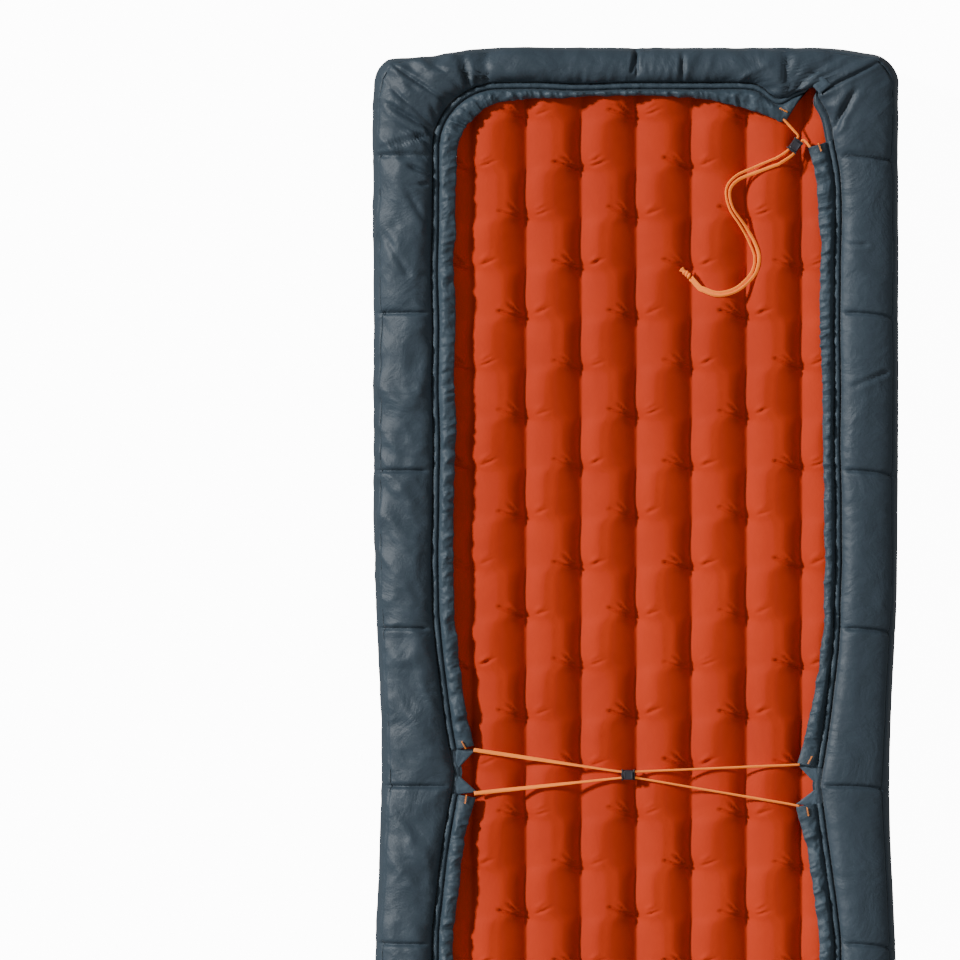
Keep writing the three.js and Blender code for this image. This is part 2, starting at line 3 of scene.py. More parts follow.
import bpy
import numpy as np
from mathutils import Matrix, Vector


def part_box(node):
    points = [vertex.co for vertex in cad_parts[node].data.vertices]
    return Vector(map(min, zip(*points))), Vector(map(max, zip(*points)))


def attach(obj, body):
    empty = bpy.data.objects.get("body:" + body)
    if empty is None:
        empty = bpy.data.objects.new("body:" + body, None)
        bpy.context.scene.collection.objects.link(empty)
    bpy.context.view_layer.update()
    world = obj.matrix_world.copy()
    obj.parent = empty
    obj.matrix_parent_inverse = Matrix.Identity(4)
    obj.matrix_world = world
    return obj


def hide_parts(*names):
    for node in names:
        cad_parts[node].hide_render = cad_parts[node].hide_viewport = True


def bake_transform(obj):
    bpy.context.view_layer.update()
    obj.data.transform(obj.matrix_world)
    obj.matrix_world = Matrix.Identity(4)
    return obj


# Camp quilt lying underside up on its air pad. Metres, +X right, +Y head end, +Z up.
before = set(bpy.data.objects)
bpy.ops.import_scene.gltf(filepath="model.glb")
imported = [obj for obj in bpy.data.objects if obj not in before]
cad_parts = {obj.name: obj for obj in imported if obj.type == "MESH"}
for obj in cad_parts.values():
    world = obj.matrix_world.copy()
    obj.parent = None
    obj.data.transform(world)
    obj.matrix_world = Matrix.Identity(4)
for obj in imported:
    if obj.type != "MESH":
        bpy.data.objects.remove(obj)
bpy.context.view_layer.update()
print("frame loaded")


def smoothStep(low, high, value):
    t = np.clip((value - low) / (high - low), 0, 1)
    return t * t * (3 - 2 * t)


def chance(i, j, seed):
    n = np.sin(i * 12.9898 + j * 78.233 + seed * 37.719) * 43758.5453
    return n - np.floor(n)


# Smooth noise on a plane, from -1 to 1.
def ripple(x, y, seed):
    x = np.asarray(x, float)
    y = np.asarray(y, float)
    i = np.floor(x)
    j = np.floor(y)
    u = x - i
    v = y - j
    u = u * u * (3 - 2 * u)
    v = v * v * (3 - 2 * v)
    low = chance(i, j, seed) * (1 - u) + chance(i + 1, j, seed) * u
    high = chance(i, j + 1, seed) * (1 - u) + chance(i + 1, j + 1, seed) * u
    return 2 * (low * (1 - v) + high * v) - 1


# Folds with soft hollows and sharp crests.
def folds(x, y, seed):
    first = 1 - 2 * np.abs(ripple(x, y, seed))
    second = 1 - 2 * np.abs(ripple(2.1 * x + 5, 2.1 * y, seed + 1))
    return 0.7 * first + 0.3 * second


def addMesh(name, points, faces, uvs=None):
    mesh = bpy.data.meshes.new(name)
    mesh.from_pydata(np.asarray(points).reshape(-1, 3).tolist(), [], [list(f) for f in faces])
    if uvs is not None:
        layer = mesh.uv_layers.new(name="UVMap")
        layer.data.foreach_set("uv", np.asarray(uvs, np.float32).ravel())
    mesh.shade_smooth()
    mesh.update()
    piece = bpy.data.objects.new(name, mesh)
    bpy.context.scene.collection.objects.link(piece)
    return piece


# points is rows x columns x 3; uv holds one column more where the columns close on themselves.
def addGrid(name, points, uv, wrap=False, caps=False, down=False):
    rows, columns = points.shape[:2]
    across = columns if wrap else columns - 1
    r, c = np.meshgrid(np.arange(rows - 1), np.arange(across), indexing="ij")
    nextC = (c + 1) % columns
    faces = np.stack(
        [r * columns + c, r * columns + nextC, (r + 1) * columns + nextC, (r + 1) * columns + c],
        axis=-1,
    ).reshape(-1, 4)
    corners = np.stack([uv[r, c], uv[r, c + 1], uv[r + 1, c + 1], uv[r + 1, c]], axis=2)
    corners = corners.reshape(-1, 4, 2)
    flat = points.reshape(-1, 3)
    middle = flat[faces].mean(1)
    normal = np.cross(flat[faces[:, 2]] - flat[faces[:, 0]], flat[faces[:, 3]] - flat[faces[:, 1]])
    if down:
        chosen = middle[:, 2] <= np.quantile(middle[:, 2], 0.1)
        flip = normal[chosen, 2].sum() > 0
    else:
        chosen = middle[:, 2] >= np.quantile(middle[:, 2], 0.9)
        flip = normal[chosen, 2].sum() < 0
    if flip:
        faces = faces[:, ::-1]
        corners = corners[:, ::-1]
    allFaces = faces.tolist()
    allUvs = corners.reshape(-1, 2).tolist()
    if caps:
        first = list(range(columns))
        last = [(rows - 1) * columns + k for k in range(columns)]
        for ring in ([first[::-1], last] if not flip else [first, last[::-1]]):
            allFaces.append(ring)
            allUvs.extend([[0, 0]] * len(ring))
    return addMesh(name, points, allFaces, allUvs)


def smoothCurve(points, spacing):
    points = np.array(points, float)
    before = np.vstack([2 * points[0] - points[1], points, 2 * points[-1] - points[-2]])
    out = []
    for k in range(len(points) - 1):
        p0, p1, p2, p3 = before[k:k + 4]
        count = max(2, int(np.linalg.norm(p2 - p1) / spacing) + 1)
        for t in np.arange(count) / count:
            out.append(
                0.5 * (2 * p1 + (p2 - p0) * t + (2 * p0 - 5 * p1 + 4 * p2 - p3) * t ** 2
                       + (3 * p1 - p0 - 3 * p2 + p3) * t ** 3)
            )
    out.append(points[-1])
    return np.array(out)


# The length walked along a line, at each of its points.
def lengthsAlong(line):
    steps = np.linalg.norm(np.diff(line, axis=0), axis=1)
    return np.concatenate([[0], np.cumsum(steps)])


# A band of elliptical section along a line, lying flat where turn is 0 and on edge where it is 90.
def addBand(name, line, width, thick, turn, sides=14, swell=None):
    line = np.array(line, float)
    ahead = np.gradient(line, axis=0)
    ahead /= np.linalg.norm(ahead, axis=1)[:, None]
    up = np.array([0, 0, 1.0])
    side = np.cross(ahead, up)
    side /= np.maximum(np.linalg.norm(side, axis=1), 1e-9)[:, None]
    top = np.cross(side, ahead)
    along = lengthsAlong(line)
    angle = np.radians(np.interp(along / along[-1], np.linspace(0, 1, len(turn)), turn))
    wide = side * np.cos(angle)[:, None] + top * np.sin(angle)[:, None]
    deep = top * np.cos(angle)[:, None] - side * np.sin(angle)[:, None]
    scale = np.ones(len(line)) if swell is None else np.interp(
        along / along[-1], np.linspace(0, 1, len(swell)), swell)
    circle = np.linspace(0, 2 * math.pi, sides, endpoint=False)
    points = (
        line[:, None]
        + wide[:, None] * (np.cos(circle) * width / 2)[None, :, None] * scale[:, None, None]
        + deep[:, None] * (np.sin(circle) * thick / 2)[None, :, None] * scale[:, None, None]
    )
    uv = np.zeros((len(line), sides + 1, 2))
    uv[..., 0] = along[:, None]
    uv[..., 1] = np.linspace(0, 1, sides + 1)[None]
    return addGrid(name, points, uv, wrap=True, caps=True)


def paint(piece, material):
    piece.data.materials.clear()
    piece.data.materials.append(material)


# The material, the body it rides, its slot, which is not used, and the nodes it stands for.
def seat(piece, material, body, slot, *nodes):
    paint(piece, material)
    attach(piece, body)
    if nodes:
        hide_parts(*nodes)


# The camera looks straight down on the head half.
view = {"x": -0.1956, "y": 0.3825, "height": 7.0, "field": 1.2, "objectTop": 0.1,
        "sensor": 36}
cameraData = bpy.data.cameras.new("camera")
camera = bpy.data.objects.new("camera", cameraData)
bpy.context.scene.collection.objects.link(camera)
camera.location = (view["x"], view["y"], view["height"])
cameraData.sensor_width = view["sensor"]
cameraData.lens = view["sensor"] * (view["height"] - view["objectTop"]) / view["field"]
cameraData.clip_end = 50
bpy.context.scene.camera = camera
print("camera placed")


# Each input takes a number, a colour or another node's output.
def setInputs(tree, node, inputs):
    for name, value in inputs.items():
        feed(tree, node.inputs[name], value)


def feed(tree, socket, value):
    if isinstance(value, (int, float)):
        socket.default_value = value
    elif isinstance(value, tuple):
        socket.default_value = (*value, 1)
    else:
        tree.links.new(value, socket)


def addNode(tree, kind, inputs=None):
    node = tree.nodes.new("ShaderNode" + kind)
    setInputs(tree, node, inputs or {})
    return node


def newMaterial(name):
    material = bpy.data.materials.new(name)
    material.use_nodes = True
    tree = material.node_tree
    tree.nodes.clear()
    shader = addNode(tree, "BsdfPrincipled")
    addNode(tree, "OutputMaterial", {"Surface": shader.outputs[0]})
    return material, tree, shader


def noiseNode(tree, vector, scale, detail=4, roughness=0.5, distortion=0):
    inputs = {"Vector": vector, "Scale": scale, "Detail": detail, "Roughness": roughness,
              "Distortion": distortion}
    return addNode(tree, "TexNoise", inputs).outputs["Fac"]


def mathNode(tree, kind, *values):
    node = addNode(tree, "Math")
    node.operation = kind
    for socket, value in zip(node.inputs, values):
        feed(tree, socket, value)
    return node.outputs[0]


def mixNode(tree, factor, first, second):
    node = addNode(tree, "Mix")
    node.data_type = "RGBA"
    sockets = [s for s in node.inputs if s.enabled]
    for socket, value in zip(sockets, [factor, first, second]):
        feed(tree, socket, value)
    return [s for s in node.outputs if s.enabled][0]


def bumpNode(tree, height, strength, distance, normal=None):
    inputs = {"Height": height, "Strength": strength, "Distance": distance}
    if normal is not None:
        inputs["Normal"] = normal
    return addNode(tree, "Bump", inputs).outputs[0]


# The first two coordinates of a vector.
def splitNode(tree, vector):
    return addNode(tree, "SeparateXYZ", {"Vector": vector}).outputs[:2]


clothDetail = {"stitch": 0.0028, "stitchShade": 0.22, "sheenRoughness": 0.4, "creaseReach": 0.006,
               "fineReach": 0.0016, "threadDepth": 0.25, "threadReach": 0.00008}


# Woven cloth: slow colour drift, soft creases whose hollows are darkened by painted shade, a fine thread
# grid and a slight sheen.
def clothMaterial(name, colour, dark, roughness, settings):
    material, tree, shader = newMaterial(name)
    coordinates = addNode(tree, "TexCoord").outputs
    place = coordinates["Object"]
    drift = noiseNode(tree, place, settings["drift"], 3)
    crease = noiseNode(tree, place, settings["crease"], 5, 0.55, 1.4)
    fine = noiseNode(tree, place, settings["fine"], 3, 0.6, 0.6)
    # Painted crease shade: the colour darkens where the crease bump is low.
    creaseShade = mathNode(tree, "MULTIPLY_ADD", crease, 0.5, -0.1)
    tone = mathNode(tree, "ADD", mathNode(tree, "MULTIPLY", drift, 0.6), creaseShade)
    base = mixNode(tree, tone, dark, colour)
    turns = 2 * math.pi / settings["thread"]
    waves = [mathNode(tree, "SINE", mathNode(tree, "MULTIPLY", s, turns)) for s in splitNode(tree, place)]
    weave = mathNode(tree, "MULTIPLY", *waves)
    along, across = splitNode(tree, coordinates["UV"])
    stitches = mathNode(tree, "MULTIPLY", along, 1 / clothDetail["stitch"])
    stitchColour = tuple(clothDetail["stitchShade"] * c for c in dark)
    for seamPlace in settings["seams"]:
        gap = mathNode(tree, "ABSOLUTE", mathNode(tree, "SUBTRACT", across, seamPlace))
        line = mathNode(tree, "LESS_THAN", gap, settings["seamHalf"])
        shown = mathNode(tree, "MULTIPLY_ADD", mathNode(tree, "PINGPONG", stitches, 1), 0.35, 0.55)
        base = mixNode(tree, mathNode(tree, "MULTIPLY", line, shown), base, stitchColour)
    normal = bumpNode(tree, crease, settings["creaseDepth"], clothDetail["creaseReach"])
    normal = bumpNode(tree, fine, settings["fineDepth"], clothDetail["fineReach"], normal)
    normal = bumpNode(tree, weave, clothDetail["threadDepth"], clothDetail["threadReach"], normal)
    setInputs(tree, shader, {
        "Base Color": base, "Roughness": mathNode(tree, "MULTIPLY_ADD", drift, 0.12, roughness - 0.06),
        "Sheen Weight": settings["sheen"], "Sheen Roughness": clothDetail["sheenRoughness"],
        "Specular IOR Level": settings["specular"], "Normal": normal,
    })
    return material


# paintedGlow is the strength of the painted light: an emission in the band's own colour.
elasticDetail = {"rib": 0.0022, "strands": 5, "drift": 60, "relief": 0.00025, "paintedGlow": 0.4}


# Braided elastic: slanted ribs that cross, on the band's own UV. Its colour darkens in the ribs' grooves as
# painted shade, and it glows in its own colour as painted light.
def elasticMaterial(name, colour, dark):
    material, tree, shader = newMaterial(name)
    coordinates = addNode(tree, "TexCoord").outputs
    along, around = splitNode(tree, coordinates["UV"])
    length = mathNode(tree, "MULTIPLY", along, 2 * math.pi / elasticDetail["rib"])
    turn = mathNode(tree, "MULTIPLY", around, 2 * math.pi * elasticDetail["strands"])
    ribs = [mathNode(tree, "SINE", mathNode(tree, kind, length, turn)) for kind in ("ADD", "SUBTRACT")]
    braid = mathNode(tree, "MAXIMUM", *ribs)
    drift = noiseNode(tree, coordinates["Object"], elasticDetail["drift"], 3)
    # Painted shade: the colour follows the rib bump and is darker in its grooves.
    tone = mathNode(tree, "MULTIPLY_ADD", braid, 0.22, mathNode(tree, "MULTIPLY", drift, 0.8))
    # The emission is painted light: the band glows though it is no lamp.
    setInputs(tree, shader, {
        "Base Color": mixNode(tree, tone, dark, colour), "Roughness": 0.7, "Sheen Weight": 0.1,
        "Emission Color": colour, "Emission Strength": elasticDetail["paintedGlow"],
        "Normal": bumpNode(tree, braid, 0.5, elasticDetail["relief"]),
    })
    return material


solidDetail = {"speckle": 900, "wear": 120, "grainReach": 0.0001}


def solidMaterial(name, colour, roughness, metallic=0.0, grain=0.4):
    material, tree, shader = newMaterial(name)
    place = addNode(tree, "TexCoord").outputs["Object"]
    speckle = noiseNode(tree, place, solidDetail["speckle"], 4)
    wear = noiseNode(tree, place, solidDetail["wear"], 5, 0.6)
    lighter = tuple(min(1, 1.5 * c + 0.01) for c in colour)
    setInputs(tree, shader, {
        "Base Color": mixNode(tree, mathNode(tree, "MULTIPLY", wear, 0.6), colour, lighter),
        "Roughness": mathNode(tree, "MULTIPLY_ADD", wear, 0.25, roughness - 0.12),
        "Metallic": metallic, "Normal": bumpNode(tree, speckle, grain, solidDetail["grainReach"]),
    })
    return material


def colourOf(code):
    channels = [int(code[k:k + 2], 16) / 255 for k in (1, 3, 5)]
    return tuple(c / 12.92 if c <= 0.04045 else ((c + 0.055) / 1.055) ** 2.4 for c in channels)


coverLook = {"drift": 5, "crease": 16, "fine": 70, "thread": 0.0007, "sheen": 0.06, "specular": 0.34,
             "creaseDepth": 0.5, "fineDepth": 0.4, "seams": [0.0], "seamHalf": 0.0008}
hemLook = dict(coverLook, crease=30, fine=140, seams=[0.0003, 0.0082], seamHalf=0.0009)
plainLook = dict(coverLook, seams=[])
padLook = {"drift": 4, "crease": 10, "fine": 60, "thread": 0.0007, "sheen": 0.0, "specular": 0.1,
           "creaseDepth": 0.12, "fineDepth": 0.12, "seams": []}
coverCloth = clothMaterial("cover_cloth", colourOf("#3d4b56"), colourOf("#27323b"), 0.53, coverLook)
hemCloth = clothMaterial("hem_cloth", colourOf("#41515c"), colourOf("#2a3741"), 0.54, hemLook)
plainCloth = clothMaterial("facing_cloth", colourOf("#4b5b67"), colourOf("#3a4954"), 0.55, plainLook)
padCloth = clothMaterial("pad_cloth", colourOf("#cf3f1c"), colourOf("#a52d15"), 0.7, padLook)
elastic = elasticMaterial("braided_elastic", colourOf("#ff8a26"), colourOf("#f07014"))
thread = elasticMaterial("tack_thread", colourOf("#ff9632"), colourOf("#f27c1c"))
lockPlastic = solidMaterial("lock_plastic", colourOf("#202026"), 0.42)
buttonPlastic = solidMaterial("button_plastic", colourOf("#2b2a31"), 0.4)
steel = solidMaterial("spring_steel", colourOf("#b8bcc0"), 0.3, 1.0, 0.15)
valvePlastic = solidMaterial("valve_plastic", colourOf("#2b2b2e"), 0.45)
valveRubber = solidMaterial("valve_rubber", colourOf("#1c1c1e"), 0.7)
print("materials made")


# The air pad: two sheets that pillow between staggered tufts, and the webs between them.
# Each crease has a side, an angle in degrees, a depth, where it begins and how far it runs.
pad = {"halfX": 0.313, "halfY": 0.9119, "top": 0.1009, "middle": 0.057,
       "pitch": 0.069, "valley": 0.015, "endRound": 0.045, "tuftStep": 0.125,
       "evenTuft": 0.83375, "oddTuft": 0.77, "pinch": 0.003, "pinchReach": 0.0065,
       "crease": 0.0023, "creaseWidth": 0.0016, "wander": 0.0019,
       "across": 23, "lastSeam": 4, "ceiling": -0.0004, "draw": 0.02, "drawX": (0.18, 0.31),
       "drawY": (0.8, 0.9), "edgeColumns": [0.279, 0.284, 0.29, 0.297, 0.304, 0.3085, 0.3115],
       "creases": [(-1, 21, 1.6, 0.001, 0.054), (-1, 39, 1.4, 0.002, 0.036), (-1, 58, 0.5, 0.002, 0.024),
                   (1, 24, 1.0, 0.012, 0.04), (1, 33, 0.8, 0.014, 0.036)]}


def tuftStart(seam):
    return np.where(np.mod(seam, 2) == 0, pad["evenTuft"], pad["oddTuft"])


# A seam bows to the left just above each of its tufts.
def seamWander(seam, y):
    return -pad["wander"] * np.maximum(np.sin(2 * math.pi * (y - tuftStart(seam)) / pad["tuftStep"]), 0)


def padRise(x, y):
    seam = np.clip(np.round(x / pad["pitch"]), -pad["lastSeam"], pad["lastSeam"])
    tube = np.floor((x - seamWander(seam, y)) / pad["pitch"])
    left = tube * pad["pitch"] + seamWander(tube, y)
    right = (tube + 1) * pad["pitch"] + seamWander(tube + 1, y)
    share = np.clip((x - left) / (right - left), 0, 1)
    below = -np.tanh(3.5 * np.sin(2 * math.pi * (y - tuftStart(tube)) / pad["tuftStep"]))
    crest = 0.5 + 0.1 * below
    slope = np.where(share < crest, (crest - share) / crest, (share - crest) / (1 - crest))
    rise = -pad["valley"] * (0.45 * slope ** 1.4 + 0.55 * slope ** 2.6)
    start = tuftStart(seam)
    for ahead in (0, 1):
        tuftY = start + (np.floor((y - start) / pad["tuftStep"]) + ahead) * pad["tuftStep"]
        dx = x - seam * pad["pitch"]
        dy = y - tuftY
        key = seam * 7.3 + np.round(tuftY * 80)
        vary = 0.65 + 0.7 * chance(key, 1, 3)
        rise -= pad["pinch"] * np.exp(-(dx ** 2 + dy ** 2) / (2 * pad["pinchReach"] ** 2))
        for n, (side, angle, depth, begin, length) in enumerate(pad["creases"]):
            lean = np.radians(angle + 9 * (chance(key, n, 5) - 0.5))
            along = side * dx * np.cos(lean) + dy * np.sin(lean)
            across = -side * dx * np.sin(lean) + dy * np.cos(lean)
            window = (smoothStep(begin, begin + 0.006, along)
                      * (1 - smoothStep(0.55 * length, length, along)))
            width = pad["creaseWidth"] * (0.7 + 14 * np.clip(along, 0, 0.04))
            line = np.exp(-(across / width) ** 2)
            lip = np.exp(-((across - 2.1 * width) / (1.3 * width)) ** 2)
            rise += pad["crease"] * depth * vary * window * (0.7 * lip - line)
    rise += 0.0007 * ripple(x * 22, y * 16, 9)
    return np.minimum(rise, pad["ceiling"])


def padProfile(x, y):
    inset = np.minimum(pad["halfX"] - np.abs(x), pad["halfY"] - np.abs(y))
    t = np.clip(inset / pad["endRound"], 0, 1)
    return np.sqrt(np.maximum(1 - (1 - t) ** 2, 0))


def padHeight(x, y):
    edge = padProfile(x, y)
    level = pad["middle"] + (pad["top"] - pad["middle"]) * edge
    return level + padRise(x, y) * smoothStep(0.3, 1, edge)


def tuftRows(low, high):
    rows = []
    step = pad["tuftStep"] / 2
    index = math.floor((low - pad["oddTuft"]) / step)
    fractions = np.concatenate([np.linspace(-0.004, 0.028, 22), np.linspace(0.033, 0.0545, 4)])
    while pad["oddTuft"] + index * step < high:
        rows.extend(pad["oddTuft"] + index * step + fractions)
        index += 1
    rows = np.array([y for y in rows if low + 0.002 < y < high - 0.002])
    return np.concatenate([[low], rows, [high]])


# The corners are drawn in, as the quilt's are.
def drawIn(x, y):
    near = smoothStep(*pad["drawX"], np.abs(x))
    return y - np.sign(y) * pad["draw"] * smoothStep(*pad["drawY"], np.abs(y)) * near


# The upper sheet's columns follow its seams.
ys = tuftRows(-pad["halfY"], pad["halfY"])
shares = np.arange(pad["across"]) / pad["across"]
tubes, shares = np.meshgrid(np.arange(-pad["lastSeam"], pad["lastSeam"]), shares, indexing="ij")
tubes = np.append(tubes.ravel(), pad["lastSeam"])
shares = np.append(shares.ravel(), 0)
leftPull = (1 - shares)[None] * seamWander(tubes[None], ys[:, None])
rightPull = shares[None] * seamWander(tubes[None] + 1, ys[:, None])
columns = ((tubes + shares) * pad["pitch"])[None] + (leftPull + rightPull)
outside = np.array([*pad["edgeColumns"], pad["halfX"]])
sides = np.ones((len(ys), 1)) * outside[None]
gridX = np.hstack([-sides[:, ::-1], columns, sides])
gridY = ys[:, None] * np.ones((1, gridX.shape[1]))
upper = np.stack([gridX, drawIn(gridX, gridY), padHeight(gridX, gridY)], -1)
padUpper = addGrid("pad_upper_fabric", upper, upper[..., :2])
xs = np.linspace(-pad["halfX"], pad["halfX"], 120)
ys = np.linspace(-pad["halfY"], pad["halfY"], 200)
gridX, gridY = np.meshgrid(xs, ys)
lower = np.stack([gridX, drawIn(gridX, gridY), 2 * pad["middle"] - padHeight(gridX, gridY)], -1)
padLower = addGrid("pad_lower_fabric", lower, lower[..., :2], down=True)
for piece, node in [(padUpper, "pad_upper_sheet"), (padLower, "pad_lower_sheet")]:
    seat(piece, padCloth, "root", "pad_fabric", node)

# Each web stands between the two sheets, along its seam.
webShape = {"half": 0.0004, "step": 0.0156, "reach": 0.0016, "sunk": 0.0015}
for number in range(1, 10):
    seamX = (number - 5) * pad["pitch"]
    low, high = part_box(f"pad_web_{number}")
    along = np.arange(low.y, high.y, webShape["step"])
    offsets = (-webShape["reach"], 0, webShape["reach"])
    crest = np.min([padHeight(along * 0 + seamX + d, along) for d in offsets], axis=0) - webShape["sunk"]
    thickness = webShape["half"] * np.array([-1, 1, 1, -1])
    rise = np.stack([crest, crest, 2 * pad["middle"] - crest, 2 * pad["middle"] - crest], -1)
    points = np.stack([seamX + thickness[None] * np.ones((len(along), 1)),
                       along[:, None] * np.ones((1, 4)), rise], -1)
    uv = np.zeros((len(along), 5, 2))
    uv[..., 0] = along[:, None]
    uv[..., 1] = np.array([0, 0.001, 0.08, 0.081, 0.16])[None]
    web = addGrid(f"pad_web_{number}_fabric", points, uv, wrap=True, caps=True)
    seat(web, padCloth, "root", "pad_web_fabric", f"pad_web_{number}")
print("pad made")


# The cords: four strands at the waist, two short links and the doubled free end.
cordShape = {"width": 0.005, "thick": 0.0027, "spacing": 0.0082, "linkWidth": 0.004,
             "lead": 0.009, "rest": 0.0016}
lockZ = 0.1052
cornerLock = (0.198, 0.8, math.atan2(-0.8, -0.6))
centreLock = (-0.0105, 0.0143, 0.0)


def lockPoint(lock, along, across):
    x, y, angle = lock
    c = math.cos(angle)
    s = math.sin(angle)
    return (x + along * c - across * s, y + along * s + across * c, lockZ)


half = cordShape["spacing"] / 2
strandPlan = {
    "right_head_strand": ((0.2035, 0.0272), 0.0115, half, (-0.99, -0.07)),
    "right_foot_strand": ((0.203, -0.0248), 0.0115, -half, (-0.97, 0.22)),
    "left_head_strand": ((-0.2035, 0.0455), -0.0115, half, (0.98, -0.16)),
    "left_foot_strand": ((-0.203, -0.009), -0.0115, -half, (0.98, 0.12)),
}


def declareCord(line):
    line = np.array(line)


for name, (mouth, entry, across, heading) in strandPlan.items():
    door = lockPoint(centreLock, entry, across)
    tail = lockPoint(centreLock, math.copysign(0.0015, entry), across)
    start = np.array([*mouth, lockZ])
    turn = start + np.array([*heading, 0]) * cordShape["lead"]
    aim = np.array(door) - turn
    aim /= np.linalg.norm(aim)
    line = smoothCurve([start, start + (turn - start) * 0.45, turn + aim * 0.006, turn + aim * 0.04,
                        (turn + np.array(door)) / 2, door, tail], 0.003)
    piece = addBand(name + "_elastic", line, cordShape["width"], cordShape["thick"],
                    (0, 10, 40, 75, 85) if entry < 0 else (75, 60, 80, 85, 85))
    paint(piece, elastic)
    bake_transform(piece)
    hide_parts(name)
    declareCord(line)

linkPlan = {
    "head_link_cord": ([(0.1825, 0.8345), (0.188, 0.8283), (0.196, 0.8195), (0.2012, 0.8135)],
                       [(-0.01, -half * 0.9), (-0.002, -half)]),
    "side_link_cord": ([(0.2232, 0.7885), (0.219, 0.7945), (0.215, 0.8), (0.2118, 0.8042),
                        (0.2082, 0.8072)], [(-0.0085, half * 0.8), (-0.002, half)]),
}
for name, (outside, within) in linkPlan.items():
    points = [(x, y, lockZ) for x, y in outside] + [lockPoint(cornerLock, *spot) for spot in within]
    line = smoothCurve(points, 0.0022)
    piece = addBand(name + "_elastic", line, cordShape["linkWidth"], cordShape["thick"],
                    (60, 40, 60, 80))
    paint(piece, elastic)
    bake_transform(piece)
    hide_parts(name)
    declareCord(line)

freeRoute = [(0.176, 0.781), (0.148, 0.77), (0.1256, 0.76), (0.1144, 0.745), (0.1181, 0.7225),
             (0.1331, 0.7), (0.1444, 0.68), (0.1506, 0.6613), (0.1469, 0.6425), (0.1331, 0.6263),
             (0.1181, 0.6175), (0.0994, 0.615), (0.0794, 0.6225)]
knot = {"x": 0.063, "y": 0.64, "angle": math.atan2(11, -12), "radius": 0.0036, "turns": 2.2,
        "length": 0.0084}


# Rests on the pad, and bridges its hollows.
def restOnPad(line):
    ground = padHeight(line[:, 0], line[:, 1])
    reach = 9
    padded = np.pad(ground, reach, mode="edge")
    high = np.array([padded[k:k + 2 * reach + 1].max() for k in range(len(ground))])
    padded = np.pad(high, reach, mode="edge")
    return np.array([padded[k:k + 2 * reach + 1].mean() for k in range(len(high))])


knotAhead = np.array([math.cos(knot["angle"]), math.sin(knot["angle"])])
knotLeft = np.array([-knotAhead[1], knotAhead[0]])
freeLines = {}
for side, name in ((-1, "free_strand_left"), (1, "free_strand_right")):
    middle = smoothCurve([(x, y, 0) for x, y in freeRoute], 0.004)
    ahead = np.gradient(middle[:, :2], axis=0)
    ahead /= np.linalg.norm(ahead, axis=1)[:, None]
    left = np.column_stack([-ahead[:, 1], ahead[:, 0]])
    gap = np.interp(np.linspace(0, 1, len(middle)), [0, 0.12, 0.35, 0.55, 0.8, 1],
                    [0.0041, 0.0034, 0.0021, 0.003, 0.0019, 0.0016])
    shifted = middle[:, :2] + left * (side * gap)[:, None]
    top = [lockPoint(cornerLock, 0.002, side * half)[:2], lockPoint(cornerLock, 0.0115, side * half)[:2]]
    tail = [(knot["x"], knot["y"]) - knotAhead * 0.0068 + knotLeft * side * 0.0014]
    flat = np.vstack([top, shifted, tail])
    line = smoothCurve(np.column_stack([flat, np.zeros(len(flat))]), 0.0034)
    line[:, 2] = restOnPad(line) + cordShape["rest"]
    far = np.linalg.norm(line[:, :2] - np.array(lockPoint(cornerLock, 0, 0)[:2]), axis=1)
    line[:, 2] += (lockZ - line[:, 2]) * (1 - smoothStep(0.01, 0.045, far))
    freeLines[name] = line
    freeTurn = (60, 20, 70, 10, 60, 10) if side > 0 else (70, 60, 80, 70, 20, 50)
    piece = addBand(name + "_elastic", line, cordShape["width"] * 0.92, cordShape["thick"], freeTurn)
    paint(piece, elastic)
    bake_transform(piece)
    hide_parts(name)

knotZ = float(freeLines["free_strand_left"][-1, 2])
centre = np.array([knot["x"], knot["y"], knotZ + 0.0006])
wraps = []
for angle in np.linspace(0, 2 * math.pi * knot["turns"], 60):
    along = -knot["length"] / 2 + knot["length"] * angle / (2 * math.pi * knot["turns"])
    offset = knotAhead * along + knotLeft * math.cos(angle) * knot["radius"] * 0.62
    wraps.append(centre + np.array([offset[0], offset[1], math.sin(angle) * knot["radius"] * 0.5]))
knotPiece = addBand("cord_knot_wrap", wraps, 0.0032, 0.003, (0, 0), 10)
tailStart = centre + np.append(knotAhead * 0.003, 0)
tailEnd = centre + np.append(knotAhead * 0.0098, -0.0008)
tailLine = [tailStart + (tailEnd - tailStart) * t for t in np.linspace(0, 1, 8)]
tailPiece = addBand("cord_knot_tail", tailLine, 0.005, 0.0026, (0, 0), 14, (1, 0.9, 0.95, 1.3, 1.4))
for piece in (knotPiece, tailPiece):
    seat(piece, elastic, "root", "elastic_cord")
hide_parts("cord_knot")
for name, line in freeLines.items():
    declareCord(line)
print("cords made")


# The rim: the seam line and the quilt's edge, walked anticlockwise from the right waist.
rim = {"seamX": 0.2555, "seamY": 0.879, "seamRadius": 0.082, "edgeX": 0.3295, "edgeY": 0.925,
       "edgeRadius": 0.036, "evenY": 0.7, "evenX": 0.1, "waistPull": 0.027, "waistReach": 0.2,
       "edgePull": 0.011, "edgeReach": 0.19, "waistPower": 1.2, "wander": 0.0018,
       "droop": [(-1, 0.012, 0.175, 0.285), (1, 0.009, 0.23, 0.32)], "droopY": (0.86, 0.9),
       "headDip": (0.019, 0.178, 0.02), "sideDip": (0.0085, 0.812, 0.036),
       "notch": (0.209, 0.871), "notchReach": 0.0135, "notchPull": 0.016}


def stretchOut(value, even, inner, outer):
    size = np.abs(value)
    far = even + (size - even) * (outer - even) / (inner - even)
    return np.sign(value) * np.where(size <= even, size, far)


